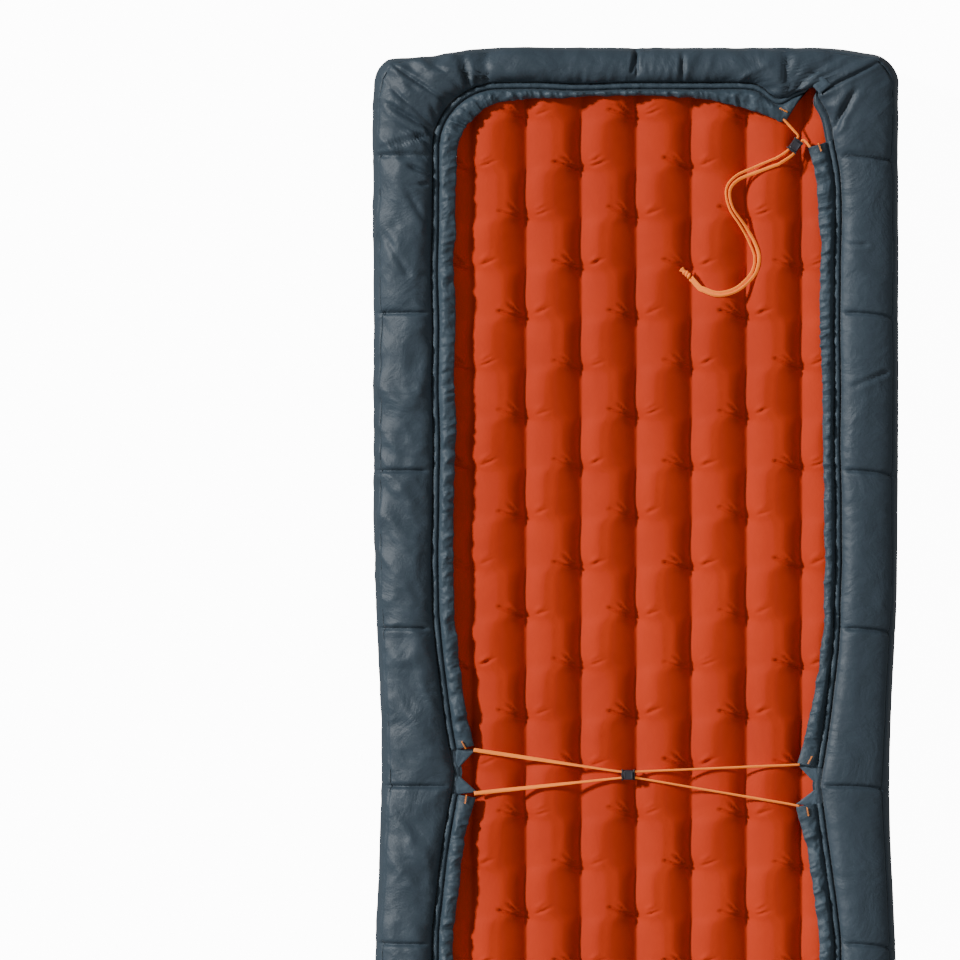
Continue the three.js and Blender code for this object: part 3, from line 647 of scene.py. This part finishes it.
def rimKnots():
    innerX = rim["seamX"] - rim["seamRadius"]
    innerY = rim["seamY"] - rim["seamRadius"]
    outerX = rim["edgeX"] - rim["edgeRadius"]
    outerY = rim["edgeY"] - rim["edgeRadius"]
    rows = []

    def straight(start, end, count, vertical, side):
        for value in np.linspace(start, end, count, endpoint=False):
            if vertical:
                far = stretchOut(value, rim["evenY"], innerY, outerY)
                rows.append([side * rim["seamX"], value, side * rim["edgeX"], far])
            else:
                far = stretchOut(value, rim["evenX"], innerX, outerX)
                rows.append([value, side * rim["seamY"], far, side * rim["edgeY"]])

    def corner(signX, signY, start):
        for angle in np.linspace(start, start + math.pi / 2, 24, endpoint=False):
            c = math.cos(angle)
            s = math.sin(angle)
            rows.append([signX * innerX + rim["seamRadius"] * c, signY * innerY + rim["seamRadius"] * s,
                         signX * outerX + rim["edgeRadius"] * c, signY * outerY + rim["edgeRadius"] * s])

    straight(0, innerY, 90, True, 1)
    corner(1, 1, 0)
    straight(innerX, -innerX, 60, False, 1)
    corner(-1, 1, math.pi / 2)
    straight(innerY, -innerY, 180, True, -1)
    corner(-1, -1, math.pi)
    straight(-innerX, innerX, 60, False, -1)
    corner(1, -1, 1.5 * math.pi)
    straight(-innerY, 0, 90, True, 1)
    rows.append(rows[0])
    rows = np.array(rows)
    return lengthsAlong(rows[:, :2]), rows


knotLengths, knotRows = rimKnots()
rimLength = knotLengths[-1]
rimWaist = {1: 0.0015, -1: 0.018}


def waistShape(y, middle, reach):
    return np.clip(1 - np.abs(y - middle) / reach, 0, 1) ** rim["waistPower"]


# The drawn-out notch between the two hems at one corner.
def cornerNotch(x, y):
    notchX, notchY = rim["notch"]
    return np.exp(-((x - notchX) ** 2 + (y - notchY) ** 2) / rim["notchReach"] ** 2)


# The seam point, the edge point and the outward direction at a length along the seam.
def rimAt(s, plain=False):
    s = np.mod(s, rimLength)
    inner = np.stack([np.interp(s, knotLengths, knotRows[:, k]) for k in (0, 1)], -1)
    outer = np.stack([np.interp(s, knotLengths, knotRows[:, k]) for k in (2, 3)], -1)
    droop = sum(drop * smoothStep(low, high, side * outer[..., 0]) for side, drop, low, high in rim["droop"])
    outer[..., 1] -= droop * smoothStep(*rim["droopY"], outer[..., 1])
    across = outer - inner
    across /= np.linalg.norm(across, axis=-1)[..., None]
    for side in (1, -1):
        onSide = (side * inner[..., 0] > rim["seamX"] - 0.02) & (np.abs(inner[..., 1]) < 0.6)
        pull = rim["waistPull"] * waistShape(inner[..., 1], rimWaist[side], rim["waistReach"])
        inner[..., 0] -= side * pull * onSide
        bow = rim["edgePull"] * np.exp(-((outer[..., 1] - rimWaist[side]) / rim["edgeReach"]) ** 2)
        outer[..., 0] -= side * bow * onSide
    if not plain:
        x, y = inner[..., 0].copy(), inner[..., 1].copy()
        drop, middle, reach = rim["headDip"]
        inner[..., 1] -= drop * np.exp(-((x - middle) / reach) ** 2) * smoothStep(0.85, 0.865, y)
        drop, middle, reach = rim["sideDip"]
        inner[..., 0] -= drop * np.exp(-((y - middle) / reach) ** 2) * smoothStep(0.22, 0.235, x)
        inner += (rim["notchPull"] * cornerNotch(x, y))[..., None] * across
    wander = rim["wander"] * ripple(inner[..., 0] * 14 + 3, inner[..., 1] * 14, 2)
    inner += wander[..., None] * across
    return inner, outer, across


# The direction into the opening, square to the seam.
def inwardAt(s):
    ahead = rimAt(s + 0.004, True)[0] - rimAt(s - 0.004, True)[0]
    ahead /= np.linalg.norm(ahead, axis=-1)[..., None]
    return np.stack([-ahead[..., 1], ahead[..., 0]], -1)


def seamLengthAt(x, y):
    return knotLengths[np.argmin((knotRows[:, 0] - x) ** 2 + (knotRows[:, 1] - y) ** 2)]


print("rim laid out")


# The quilted cover wraps up and over the pad's edges. Its profile runs from the seam outwards and
# down to the ground, in shares of the width and heights. A crease is a line, a depth and a width.
cover = {
    "step": 0.0027,
    "seamZ": 0.1008, "span": 0.07, "bandRows": 7, "lowest": 0.0004, "highest": 0.1165,
    "padGap": 0.0012, "roll": 0.0011, "piping": 0.0016, "pipingWidth": 0.0011,
    "gather": (0.003, 0.0012, 0.0036, 0.002),  # at the left, the right, the head and the corners
    "rough": (0.0044, 0.001, 0.0018, 0.0012),
    "profile": [(0.0, 0.1035), (0.05, 0.1075), (0.16, 0.1115), (0.34, 0.1128), (0.55, 0.1108),
                (0.74, 0.1068), (0.88, 0.0995), (0.97, 0.086), (1.0, 0.07), (1.0, 0.045),
                (0.975, 0.024), (0.9, 0.009), (0.76, 0.0025), (0.5, 0.0012), (0.25, 0.0012)],
    "band": [(-0.01, 0.1018), (-0.0088, 0.1022), (-0.008, 0.1012), (-0.007, 0.1026),
             (-0.0045, 0.1034), (-0.0018, 0.103)],
    "seamX": 0.188, "seamY": 0.197, "seamDepth": 0.0046, "seamWidth": 0.0026,
    "creases": [
        (-0.312, 0.906, -0.233, 0.851, 0.0045, 0.003), (0.312, 0.909, 0.228, 0.866, 0.0045, 0.003),
        (-0.314, 0.854, -0.249, 0.815, 0.0075, 0.005), (-0.313, 0.878, -0.252, 0.822, 0.004, 0.004),
        (-0.219, 0.92, -0.208, 0.862, 0.008, 0.005), (-0.265, 0.871, -0.25, 0.832, 0.0035, 0.0035),
        (-0.323, 0.795, -0.256, 0.816, 0.0045, 0.0035), (-0.286, 0.775, -0.259, 0.764, 0.005, 0.004),
        (-0.19, 0.92, -0.203, 0.864, 0.0045, 0.003), (-0.258, 0.907, -0.214, 0.866, 0.0035, 0.0035),
        (0.058, 0.919, 0.056, 0.879, 0.006, 0.0035), (0.001, 0.925, -0.006, 0.893, 0.0035, 0.003),
        (0.187, 0.919, 0.184, 0.88, 0.005, 0.0032), (0.276, 0.876, 0.247, 0.824, 0.007, 0.005),
        (0.233, 0.916, 0.19, 0.858, 0.005, 0.0045), (0.212, 0.914, 0.186, 0.868, 0.0035, 0.0035),
        (0.246, 0.918, 0.214, 0.884, 0.004, 0.0035), (0.26, 0.917, 0.223, 0.892, 0.0045, 0.0038),
        (-0.3, 0.826, -0.262, 0.806, 0.0035, 0.0035), (-0.296, 0.748, -0.262, 0.752, 0.003, 0.0035),
        (0.263, 0.676, 0.286, 0.676, 0.0035, 0.0032), (0.263, 0.496, 0.311, 0.517, 0.0035, 0.0036),
        (-0.32, 0.7, -0.285, 0.64, 0.003, 0.005), (-0.262, 0.7, -0.285, 0.742, 0.003, 0.0045),
    ],
}


def creaseAt(x, y, creases):
    total = np.zeros_like(x)
    for x0, y0, x1, y1, depth, width in creases:
        dx, dy = x1 - x0, y1 - y0
        square = dx * dx + dy * dy
        t = np.clip(((x - x0) * dx + (y - y0) * dy) / square, 0, 1)
        gap = np.hypot(x - x0 - t * dx, y - y0 - t * dy)
        width = width * 0.68
        fade = smoothStep(-0.05, 0.35, t) * (0.6 + 0.4 * t)
        total -= depth * fade * np.exp(-(gap / width) ** 2)
        total += 0.3 * depth * fade * np.exp(-((gap - 2.4 * width) / (1.6 * width)) ** 2)
    return total


# Normals of a closed ring of columns, turned so that the top rows face up.
def gridNormals(points):
    along = np.roll(points, -1, 1) - np.roll(points, 1, 1)
    across = np.gradient(points, axis=0)
    normal = np.cross(along, across)
    normal = normal / np.maximum(np.linalg.norm(normal, axis=-1), 1e-12)[..., None]
    return -normal if normal[12, :, 2].mean() < 0 else normal


# Columns stand closer together beside the cross seams.
def coverColumns():
    close = np.linspace(-0.0112, 0.0112, 21)
    top = rim["seamY"] - rim["seamRadius"]
    leftStart = seamLengthAt(-rim["seamX"], top)
    middles = []
    for k in range(-4, 5):
        if abs(k * cover["seamY"]) < top:
            middles.append(k * cover["seamY"] % rimLength)
            middles.append(leftStart + top - k * cover["seamY"])
    middles = np.array([*middles, seamLengthAt(0, rim["seamY"]), seamLengthAt(0, -rim["seamY"])])
    even = np.arange(0, rimLength - 0.001, cover["step"])
    bend = np.arange(0.735, top, 0.0013)
    gap = np.abs(even[:, None] - middles[None]).min(1)
    fine = np.mod((middles[:, None] + close[None]).ravel(), rimLength)
    columns = np.concatenate([even[gap > 0.0125], fine, bend, leftStart + top - bend])
    return np.unique(np.round(columns, 4))


def coverPoints(s):
    columns = len(s)
    inner, outer, _ = rimAt(s)
    width = np.linalg.norm(outer - inner, axis=-1)
    across = (outer - inner) / width[:, None]
    table = np.array(cover["profile"])
    shaped = np.column_stack([table[:, 0] * cover["span"], table[:, 1], np.zeros(len(table))])
    shaped = smoothCurve(shaped, 0.004)
    share = shaped[:, 0] / cover["span"]
    share[0] = 0
    extra = np.array([0.845, 0.86, 0.87, 0.88, 0.89, 0.9, 0.915])
    outward = int(np.argmax(share))
    level = np.interp(extra, share[:outward], shaped[:outward, 1])
    order = np.argsort(np.concatenate([share[:outward], extra]))
    share = np.concatenate([np.concatenate([share[:outward], extra])[order], share[outward:]])
    heightTable = np.concatenate([np.concatenate([shaped[:outward, 1], level])[order],
                                  shaped[outward:, 1]])
    plain = rimAt(s, True)[0]
    narrow = 1 - 0.75 * cornerNotch(plain[:, 0], plain[:, 1])
    band = np.array(cover["band"])
    offsets = np.vstack([band[:, :1] * narrow[None], np.zeros((1, columns)), share[1:, None] * width[None]])
    heights = np.concatenate([band[:, 1], [cover["seamZ"]], heightTable[1:]])
    flat = inner[None] + across[None] * np.maximum(offsets, 0)[..., None]
    flat += inwardAt(s)[None] * np.maximum(-offsets, 0)[..., None]
    points = np.concatenate([flat, heights[:, None, None] * np.ones((1, columns, 1))], -1)
    return points, offsets, width


def coverSwell(s, points, offsets, width):
    x, y = points[..., 0], points[..., 1]
    onHead = np.abs(y) > 0.845
    onSide = np.abs(x) > 0.235
    alongX = np.abs(x - cover["seamX"] * np.round(x / cover["seamX"]))
    bowed = y + 0.0065 * np.clip((x - 0.262) / 0.06, 0, 1) ** 2
    alongY = np.abs(bowed - cover["seamY"] * np.round(bowed / cover["seamY"]))
    corner = (np.abs(x) > 0.225) & (np.abs(y) > 0.84)
    gap = np.where(onSide & ~corner, alongY, 1.0)
    gap = np.where(onHead & ~corner & ~onSide, np.minimum(gap, alongX), gap)
    far = np.clip(offsets, 0, None)
    hold = smoothStep(0.0, 0.014, far)
    seam = -cover["seamDepth"] * np.exp(-(gap / cover["seamWidth"]) ** 1.4)
    seam += 0.0016 * (1 - np.exp(-gap / 0.03)) - 0.0008
    left = smoothStep(0.215, 0.245, -x)
    right = smoothStep(0.215, 0.245, x)
    head = 1 - np.maximum(left, right)
    cornerNear = smoothStep(0.3, 0.0, np.hypot(np.abs(x) - 0.3, np.abs(y) - 0.9))
    zones = (left, right, head, cornerNear)
    gather = sum(depth * zone for depth, zone in zip(cover["gather"], zones))
    wave = folds(s[None] / 0.021 + far * 18, far * 9, 11)
    wave = 0.65 * wave + 0.35 * folds(s[None] / 0.0095, far * 16, 17)
    pucker = gather * wave * np.exp(-far / 0.026) * smoothStep(0, 0.004, far)
    rough = sum(depth * zone for depth, zone in zip(cover["rough"], zones))
    tilt = x * 0.8 + y * 0.6
    crumple = rough * (folds(tilt * 32 + 40, (y - x) * 19, 21) * 0.7 + ripple(x * 34, y * 24, 5) * 0.6)
    roll = cover["roll"] * ripple(x * 9, y * 9, 31)
    edgeLine = np.exp(-((far - 0.88 * width) / cover["pipingWidth"]) ** 2)
    piping = -cover["piping"] * edgeLine * (right + 0.4 * left)
    side = smoothStep(0.086, 0.104, points[..., 2])
    return (seam * hold * (0.06 + 0.94 * side) + pucker + piping
            + (crumple + roll) * smoothStep(0.002, 0.02, far) * (0.3 + 0.7 * side))


s = coverColumns()
base, offsets, width = coverPoints(s)
normals = gridNormals(base)
topside = smoothStep(0.03, 0.09, base[..., 2])
swell = coverSwell(s, base, offsets, width)
swell += (creaseAt(base[..., 0], base[..., 1], cover["creases"]) * topside
          * (0.15 + 0.85 * smoothStep(0.0, 0.014, offsets)) * (offsets >= 0))
shell = base + normals * swell[..., None]
shell[..., 2] = np.clip(shell[..., 2], cover["lowest"], cover["highest"])
shell[:8, :, 2] = np.maximum(shell[:8, :, 2], 0.1016)
above = padHeight(shell[..., 0], shell[..., 1]) + cover["padGap"]
shell[..., 2] = np.where(base[..., 2] > 0.09, np.maximum(shell[..., 2], above), shell[..., 2])
ends = np.append(s, rimLength)
uv = np.zeros((base.shape[0], len(ends), 2))
uv[..., 0] = ends[None]
uv[:, :-1, 1] = offsets
uv[:, -1, 1] = offsets[:, 0]
coverPiece = addGrid("quilt_cover", shell, uv, wrap=True)
seat(coverPiece, coverCloth, "root", "cover_fabric", "outer_cover", "insulation_batt")

lining = {"columns": 360, "depth": 0.0115}
thinBase = coverPoints(np.linspace(0, rimLength, lining["columns"], endpoint=False))[0]
thinNormals = gridNormals(thinBase)
inside = thinBase[cover["bandRows"]:] - thinNormals[cover["bandRows"]:] * lining["depth"]
uv = np.zeros((inside.shape[0], lining["columns"] + 1, 2))
uv[..., 0] = np.linspace(0, rimLength, lining["columns"] + 1)[None]
uv[..., 1] = np.linspace(0, 0.2, inside.shape[0])[:, None]
liningPiece = addGrid("quilt_lining", inside, uv, wrap=True)
seat(liningPiece, plainCloth, "root", "lining_fabric", "lining")

# Quilted face underneath: stitched squares that swell between their seams.
under = {"halfX": 0.312, "halfY": 0.905, "columns": 105, "rows": 302, "ground": 0.0006,
         "dent": 0.0065, "dentReach": 0.012, "edgeLift": 0.006, "edgeReach": 0.02}
xs = np.linspace(-under["halfX"], under["halfX"], under["columns"])
ys = np.linspace(-under["halfY"], under["halfY"], under["rows"])
gridX, gridY = np.meshgrid(xs, ys)
nearX = np.abs(gridX - cover["seamX"] * np.round(gridX / cover["seamX"]))
nearY = np.abs(gridY - cover["seamY"] * np.round(gridY / cover["seamY"]))
dent = np.exp(-np.minimum(nearX, nearY) / under["dentReach"])
lift = under["ground"] + under["dent"] * dent + 0.0006 * (1 + ripple(gridX * 30, gridY * 30, 8))
edgeGap = np.minimum(under["halfX"] - np.abs(gridX), under["halfY"] - np.abs(gridY))
lift += under["edgeLift"] * (1 - smoothStep(0.0, under["edgeReach"], edgeGap))
facePoints = np.stack([gridX, gridY, lift], -1)
face = addGrid("quilt_face", facePoints, facePoints[..., :2] + 5.0, down=True)
seat(face, coverCloth, "root", "cover_fabric")
print("cover made")


# The gathered hem, in three pieces between the corner notch and the waist tabs.
hem = {"step": 0.0017, "top": 0.104, "crown": 0.1085, "under": 0.1018, "edge": 0.1048,
       "gather": 0.0046, "pitch": 0.0115, "scallop": 0.0018, "span": 0.025, "casingRows": 17,
       "band": [(0, 0.101), (0.0007, 0.1018), (0.0014, 0.1036), (0.0027, 0.1044), (0.0042, 0.1047),
                (0.0057, 0.1044), (0.0069, 0.1036), (0.0076, 0.1018), (0.0082, 0.1012),
                (0.0088, 0.1018), (0.0096, 0.1036)]}
headMiddle = seamLengthAt(0.0, rim["seamY"])
leftWaistHead = seamLengthAt(-rim["seamX"], 0.0415)
leftWaistFoot = seamLengthAt(-rim["seamX"], -0.0055)
tabStart = rim["seamY"] - rim["seamRadius"] + rim["seamRadius"] * math.radians(67)


# Width of the hem, from the seam to the opening's edge.
def hemWidth(s, which):
    if which == "head":
        turn = headMiddle + 0.1735
        plan = [(tabStart, 0.039), (tabStart + 0.013, 0.0355), (headMiddle - 0.1735, 0.0262),
                (headMiddle - 0.158, 0.0315), (headMiddle - 0.1436, 0.0335),
                (headMiddle - 0.129, 0.0305), (headMiddle - 0.1, 0.024),
                (headMiddle - 0.067, 0.0185), (headMiddle, 0.015),
                (headMiddle + 0.077, 0.0155), (headMiddle + 0.114, 0.019), (turn - 0.015, 0.024),
                (turn + 0.05, 0.033), (turn + 0.11, 0.0325), (turn + 0.16, 0.03),
                (turn + 0.23, 0.0285), (leftWaistHead - 0.05, 0.027), (leftWaistHead, 0.031)]
    elif which == "side":
        plan = [(0.027, 0.033), (0.07, 0.027), (0.2, 0.02), (0.38, 0.022), (0.6, 0.025),
                (0.68, 0.025), (0.712, 0.0285), (0.777, 0.031), (0.803, 0.0345)]
    else:
        plan = [(leftWaistFoot, 0.031), (leftWaistFoot + 0.05, 0.026), (leftWaistFoot + 0.4, 0.026),
                (rimLength - 0.4, 0.024), (rimLength - 0.07, 0.027), (rimLength - 0.025, 0.033)]
    return np.interp(s, *np.array(plan).T)


def addHem(name, which, start, end, slantStart, slantEnd, nodes):
    columns = int((end - start) / hem["step"])
    k = np.linspace(0, 1, columns)
    band, bandHeight = np.array(hem["band"]).T
    casing = np.linspace(0, 1, hem["casingRows"])[1:]
    back = np.array([0.985, 0.8, 0.5, 0.2, 0.02])
    topRows = len(band) + len(casing)
    span = hem["span"]
    share = np.concatenate([band / span, (band[-1] + casing * (span - band[-1])) / span, back])
    first = start + slantStart * share
    last = end + slantEnd * share
    grid = first[:, None] + (last - first)[:, None] * k[None]
    inner = rimAt(grid)[0]
    toOpening = inwardAt(grid)
    width = hemWidth(grid, which)
    onBand = np.arange(len(share))[:, None] < len(band)
    inward = np.where(onBand, (share * span)[:, None], share[:, None] * width)
    casingRows = slice(len(band), topRows)
    inward[casingRows] = band[-1] + casing[:, None] * (width[casingRows] - band[-1])
    plain = inward.copy()
    beyond = np.clip((inward - band[-1]) / (width - band[-1]), 0, 1)
    beat = folds(grid / hem["pitch"] + inward * 25, inward * 40, 41)
    slow = folds(grid / 0.023 - inward * 12, inward * 20, 47)
    fromEnd = np.minimum(grid - first[:, None], last[:, None] - grid)
    tabs = 0.12 + 0.88 * smoothStep(0.01, 0.024, fromEnd)
    gatherWave = (0.65 * beat + 0.35 * slow) * tabs
    scallop = hem["scallop"] * gatherWave + 0.0012 * ripple(grid / 0.035, 0 * grid, 53)
    inward = inward + scallop * smoothStep(0.5, 1, share)[:, None]
    flat = inner + toOpening * inward[..., None]
    crown = np.sin(math.pi * np.clip(beyond, 0, 1)) ** 0.6
    level = hem["top"] + (hem["crown"] - hem["top"]) * crown
    level += (hem["edge"] - hem["top"]) * smoothStep(0.9, 1, beyond) * (1 - crown)
    level[:len(band)] = bandHeight[:, None] + 0.0007 * gatherWave[:len(band)]
    level += hem["gather"] * gatherWave * smoothStep(0.0, 0.25, beyond)
    level += 0.0006 * ripple(grid / 0.006, inward * 180, 61) * (beyond > 0)
    z = np.where(np.arange(len(share))[:, None] < topRows, level, hem["under"])
    z = np.maximum(z, hem["under"])
    points = np.concatenate([flat, z[..., None]], -1)
    points = points.transpose(1, 0, 2)
    uv = np.zeros((columns, len(share) + 1, 2))
    uv[:, :-1, 0] = grid.T
    uv[:, :-1, 1] = plain.T
    uv[:, topRows:-1, 1] = 0.02
    uv[:, -1] = uv[:, 0]
    piece = addGrid(name, points, uv, wrap=True, caps=True)
    seat(piece, hemCloth, "root", "hem_fabric", *nodes)


addHem("head_hem", "head", tabStart, leftWaistHead, 0.013, 0.0, ("head_casing", "head_drawcord"))
addHem("side_hem", "side", 0.0225, 0.809, 0.0, -0.01, ("side_casing", "side_drawcord"))
addHem("foot_hem", "foot", leftWaistFoot, rimLength - 0.021, 0.0, 0.0, ("foot_casing", "foot_drawcord"))
print("hem made")


# Bartacks across the ends of the hem, each at a place and an angle in degrees.
tackPlan = {
    "head_corner": (0.1832, 0.8442, -27), "side_corner": (0.2284, 0.798, -69),
    "side_right": (0.2162, 0.033, 61), "foot_right": (0.2134, -0.0315, -80),
    "head_left": (-0.216, 0.0515, 119), "foot_left": (-0.2134, -0.016, 80),
}
tackLook = {"length": 0.0102, "stitches": 20, "sway": 0.0008, "thread": 0.0011, "height": 0.1106}
for place, (x, y, angle) in tackPlan.items():
    node = next(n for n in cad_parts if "bartack" in n and place in n)
    turn = math.radians(angle)
    line = []
    for k in range(2 * tackLook["stitches"] + 1):
        t = (k / (2 * tackLook["stitches"]) - 0.5) * tackLook["length"]
        sway = tackLook["sway"] * (1 if k % 2 else -1)
        line.append((x + math.cos(turn) * t - math.sin(turn) * sway,
                     y + math.sin(turn) * t + math.cos(turn) * sway, tackLook["height"]))
    tack = addBand(node + "_thread", line, tackLook["thread"], tackLook["thread"], (0, 0), 6)
    seat(tack, thread, "root", "tack_thread", node)


patchShape = {"count": 16, "wall": 0.0006, "roll": 0.2, "wave": 0.0004, "uvSize": 0.02, "uvStart": 0.03}


# A thin sewn patch: a grid between four corners, crowned, with a rolled edge.
def addPatch(name, corners, height, crown, slotName, *nodes):
    a, b, c, d = np.array(corners)
    t = np.linspace(0, 1, patchShape["count"])
    u, v = np.meshgrid(t, t)
    flat = ((1 - u)[..., None] * (1 - v)[..., None] * a + u[..., None] * (1 - v)[..., None] * b
            + u[..., None] * v[..., None] * c + (1 - u)[..., None] * v[..., None] * d)
    edge = np.minimum(np.minimum(u, 1 - u), np.minimum(v, 1 - v))
    z = (height + crown * smoothStep(0, patchShape["roll"], edge)
         + patchShape["wave"] * ripple(u * 5, v * 5, 3))
    points = np.concatenate([flat, z[..., None]], -1)
    size = patchShape["uvSize"]
    piece = addGrid(name, points, np.stack([u * size, v * size + patchShape["uvStart"]], -1))
    bpy.ops.object.select_all(action="DESELECT")
    bpy.context.view_layer.objects.active = piece
    piece.select_set(True)
    solid = piece.modifiers.new("wall", "SOLIDIFY")
    solid.thickness = patchShape["wall"]
    solid.offset = -1
    bpy.ops.object.modifier_apply(modifier=solid.name)
    seat(piece, plainCloth, "root", slotName, *nodes)


facingPlan = {
    "right_facing_head": [(0.2, 0.0275), (0.228, 0.0275), (0.228, 0.002), (0.2235, 0.003)],
    "right_facing_foot": [(0.199, -0.0225), (0.228, -0.027), (0.228, -0.003), (0.2235, -0.0036)],
    "left_facing_head": [(-0.2, 0.0465), (-0.228, 0.0465), (-0.228, 0.02), (-0.2235, 0.021)],
    "left_facing_foot": [(-0.199, -0.0075), (-0.228, -0.011), (-0.228, 0.0155), (-0.2235, 0.015)],
}
for name, corners in facingPlan.items():
    nodes = [name.split("_")[0] + "_waist_facing"] if name.endswith("head") else []
    addPatch(name, corners, 0.1024, 0.0008, "lining_fabric", *nodes)
binding = [(0.2119, 0.8815), (0.2269, 0.893), (0.2427, 0.8758), (0.2284, 0.8643)]
addPatch("corner_binding_patch", binding, 0.1126, 0.001, "hem_fabric", "corner_binding")
print("trims made")


# Cord locks. Each block has a size, the width of its bevel and the bevel's segments.
lockShape = {
    "shell": ((0.0162, 0.0126, 0.0078), 0.0036, 6), "rim": ((0.0024, 0.014, 0.0084), 0.0009, 3),
    "cap": ((0.0104, 0.0108, 0.0024), 0.0006, 3), "stem": ((0.0066, 0.0032, 0.003), 0.0004, 2),
    "rimPlace": 0.0073, "capDrop": 0.0012, "stemDrop": 0.0036, "ribs": 3, "ribInset": 0.0012,
    "ribDepth": 0.0004,
}


# Sunk ribs across the top of a block.
def addRibs(piece, length):
    ribs = lockShape["ribs"]
    bpy.ops.object.mode_set(mode="EDIT")
    bpy.ops.mesh.select_all(action="DESELECT")
    bpy.ops.object.mode_set(mode="OBJECT")
    for polygon in piece.data.polygons:
        polygon.select = polygon.normal.z > 0.9
    bpy.ops.object.mode_set(mode="EDIT")
    bpy.ops.mesh.inset(thickness=lockShape["ribInset"])
    bpy.ops.mesh.subdivide(number_cuts=ribs)
    bpy.ops.object.mode_set(mode="OBJECT")
    for polygon in piece.data.polygons:
        inRow = int((polygon.center.x / length + 0.5) * (2 * ribs + 1))
        polygon.select = polygon.select and inRow % 2 == 1
    bpy.ops.object.mode_set(mode="EDIT")
    bpy.ops.mesh.extrude_region_move(TRANSFORM_OT_translate={"value": (0, 0, -lockShape["ribDepth"])})
    bpy.ops.object.mode_set(mode="OBJECT")


def addBlock(name, shape, place, angle, ribbed=False):
    size, width, segments = lockShape[shape]
    bpy.ops.object.select_all(action="DESELECT")
    bpy.ops.mesh.primitive_cube_add(size=1, location=(0, 0, 0))
    piece = bpy.context.object
    piece.name = name
    piece.scale = size
    bpy.ops.object.transform_apply(location=False, rotation=False, scale=True)
    if ribbed:
        addRibs(piece, size[0])
    bevel = piece.modifiers.new("edges", "BEVEL")
    bevel.width = width
    bevel.segments = segments
    bevel.limit_method = "ANGLE"
    bpy.ops.object.modifier_apply(modifier=bevel.name)
    bpy.ops.object.shade_smooth_by_angle(angle=math.radians(50))
    piece.rotation_euler = (0, 0, angle)
    piece.location = place
    bpy.ops.object.transform_apply(location=True, rotation=True, scale=True)
    return piece


for prefix, lock, body in (("corner", cornerLock, "corner_lock"), ("centre", centreLock, "centre_lock")):
    x, y, angle = lock
    barrel = addBlock(prefix + "_lock_shell", "shell", (x, y, lockZ), angle)
    seat(barrel, lockPlastic, body, "lock_plastic", prefix + "_lock_barrel")
    rimPlastic = buttonPlastic if prefix == "corner" else lockPlastic
    for n, side in enumerate((-1, 1)):
        spot = lockPoint(lock, side * lockShape["rimPlace"], 0)
        lip = addBlock(f"{prefix}_lock_rim_{n + 1}", "rim", spot, angle)
        seat(lip, rimPlastic, body, "lock_plastic")
    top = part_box(prefix + "_lock_button")[1].z
    cap = addBlock(prefix + "_button_cap", "cap", (x, y, top - lockShape["capDrop"]), angle, True)
    stem = addBlock(prefix + "_button_stem", "stem", (x, y, top - lockShape["stemDrop"]), angle)
    seat(cap, buttonPlastic, prefix + "_button", "button_plastic", prefix + "_lock_button")
    seat(stem, buttonPlastic, prefix + "_button", "button_plastic")
print("locks made")


# The nodes that no piece stands for keep their own shape.
for name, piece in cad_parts.items():
    if piece.hide_render:
        continue
    if "spring" in name or "pin" in name:
        paint(piece, steel)
    elif "flap" in name:
        paint(piece, valveRubber)
    else:
        paint(piece, valvePlastic)

print("carried-over pieces painted")


# Floor and light.
studio = {"floorSize": 30, "floorZ": -0.001, "floorGlow": 12.0, "floorColour": 0.9, "world": 0.26}
bpy.ops.object.select_all(action="DESELECT")
bpy.ops.mesh.primitive_plane_add(size=studio["floorSize"], location=(0, 0, studio["floorZ"]))
floor = bpy.context.object
floor.name = "floor"
floorMaterial, tree, shader = newMaterial("floor_white")
setInputs(tree, shader, {"Base Color": (studio["floorColour"],) * 3, "Roughness": 1.0,
                         "Emission Color": (1, 1, 1), "Emission Strength": studio["floorGlow"]})
paint(floor, floorMaterial)
floor.visible_diffuse = False
floor.visible_glossy = False

world = bpy.data.worlds.new("studio")
world.use_nodes = True
setInputs(world.node_tree, world.node_tree.nodes["Background"],
          {"Color": (1, 1, 1), "Strength": studio["world"]})
bpy.context.scene.world = world

# Each sun's power, its size in degrees and its tilt about X and Y.
sunPlan = {"key": (4.5, 7, -20, -56), "fill": (0.3, 60, 20, 30)}
for name, (power, spread, tiltX, tiltY) in sunPlan.items():
    data = bpy.data.lights.new(name, "SUN")
    data.energy = power
    data.angle = math.radians(spread)
    light = bpy.data.objects.new(name, data)
    bpy.context.scene.collection.objects.link(light)
    light.rotation_euler = (math.radians(tiltX), math.radians(tiltY), 0)
print("studio made")
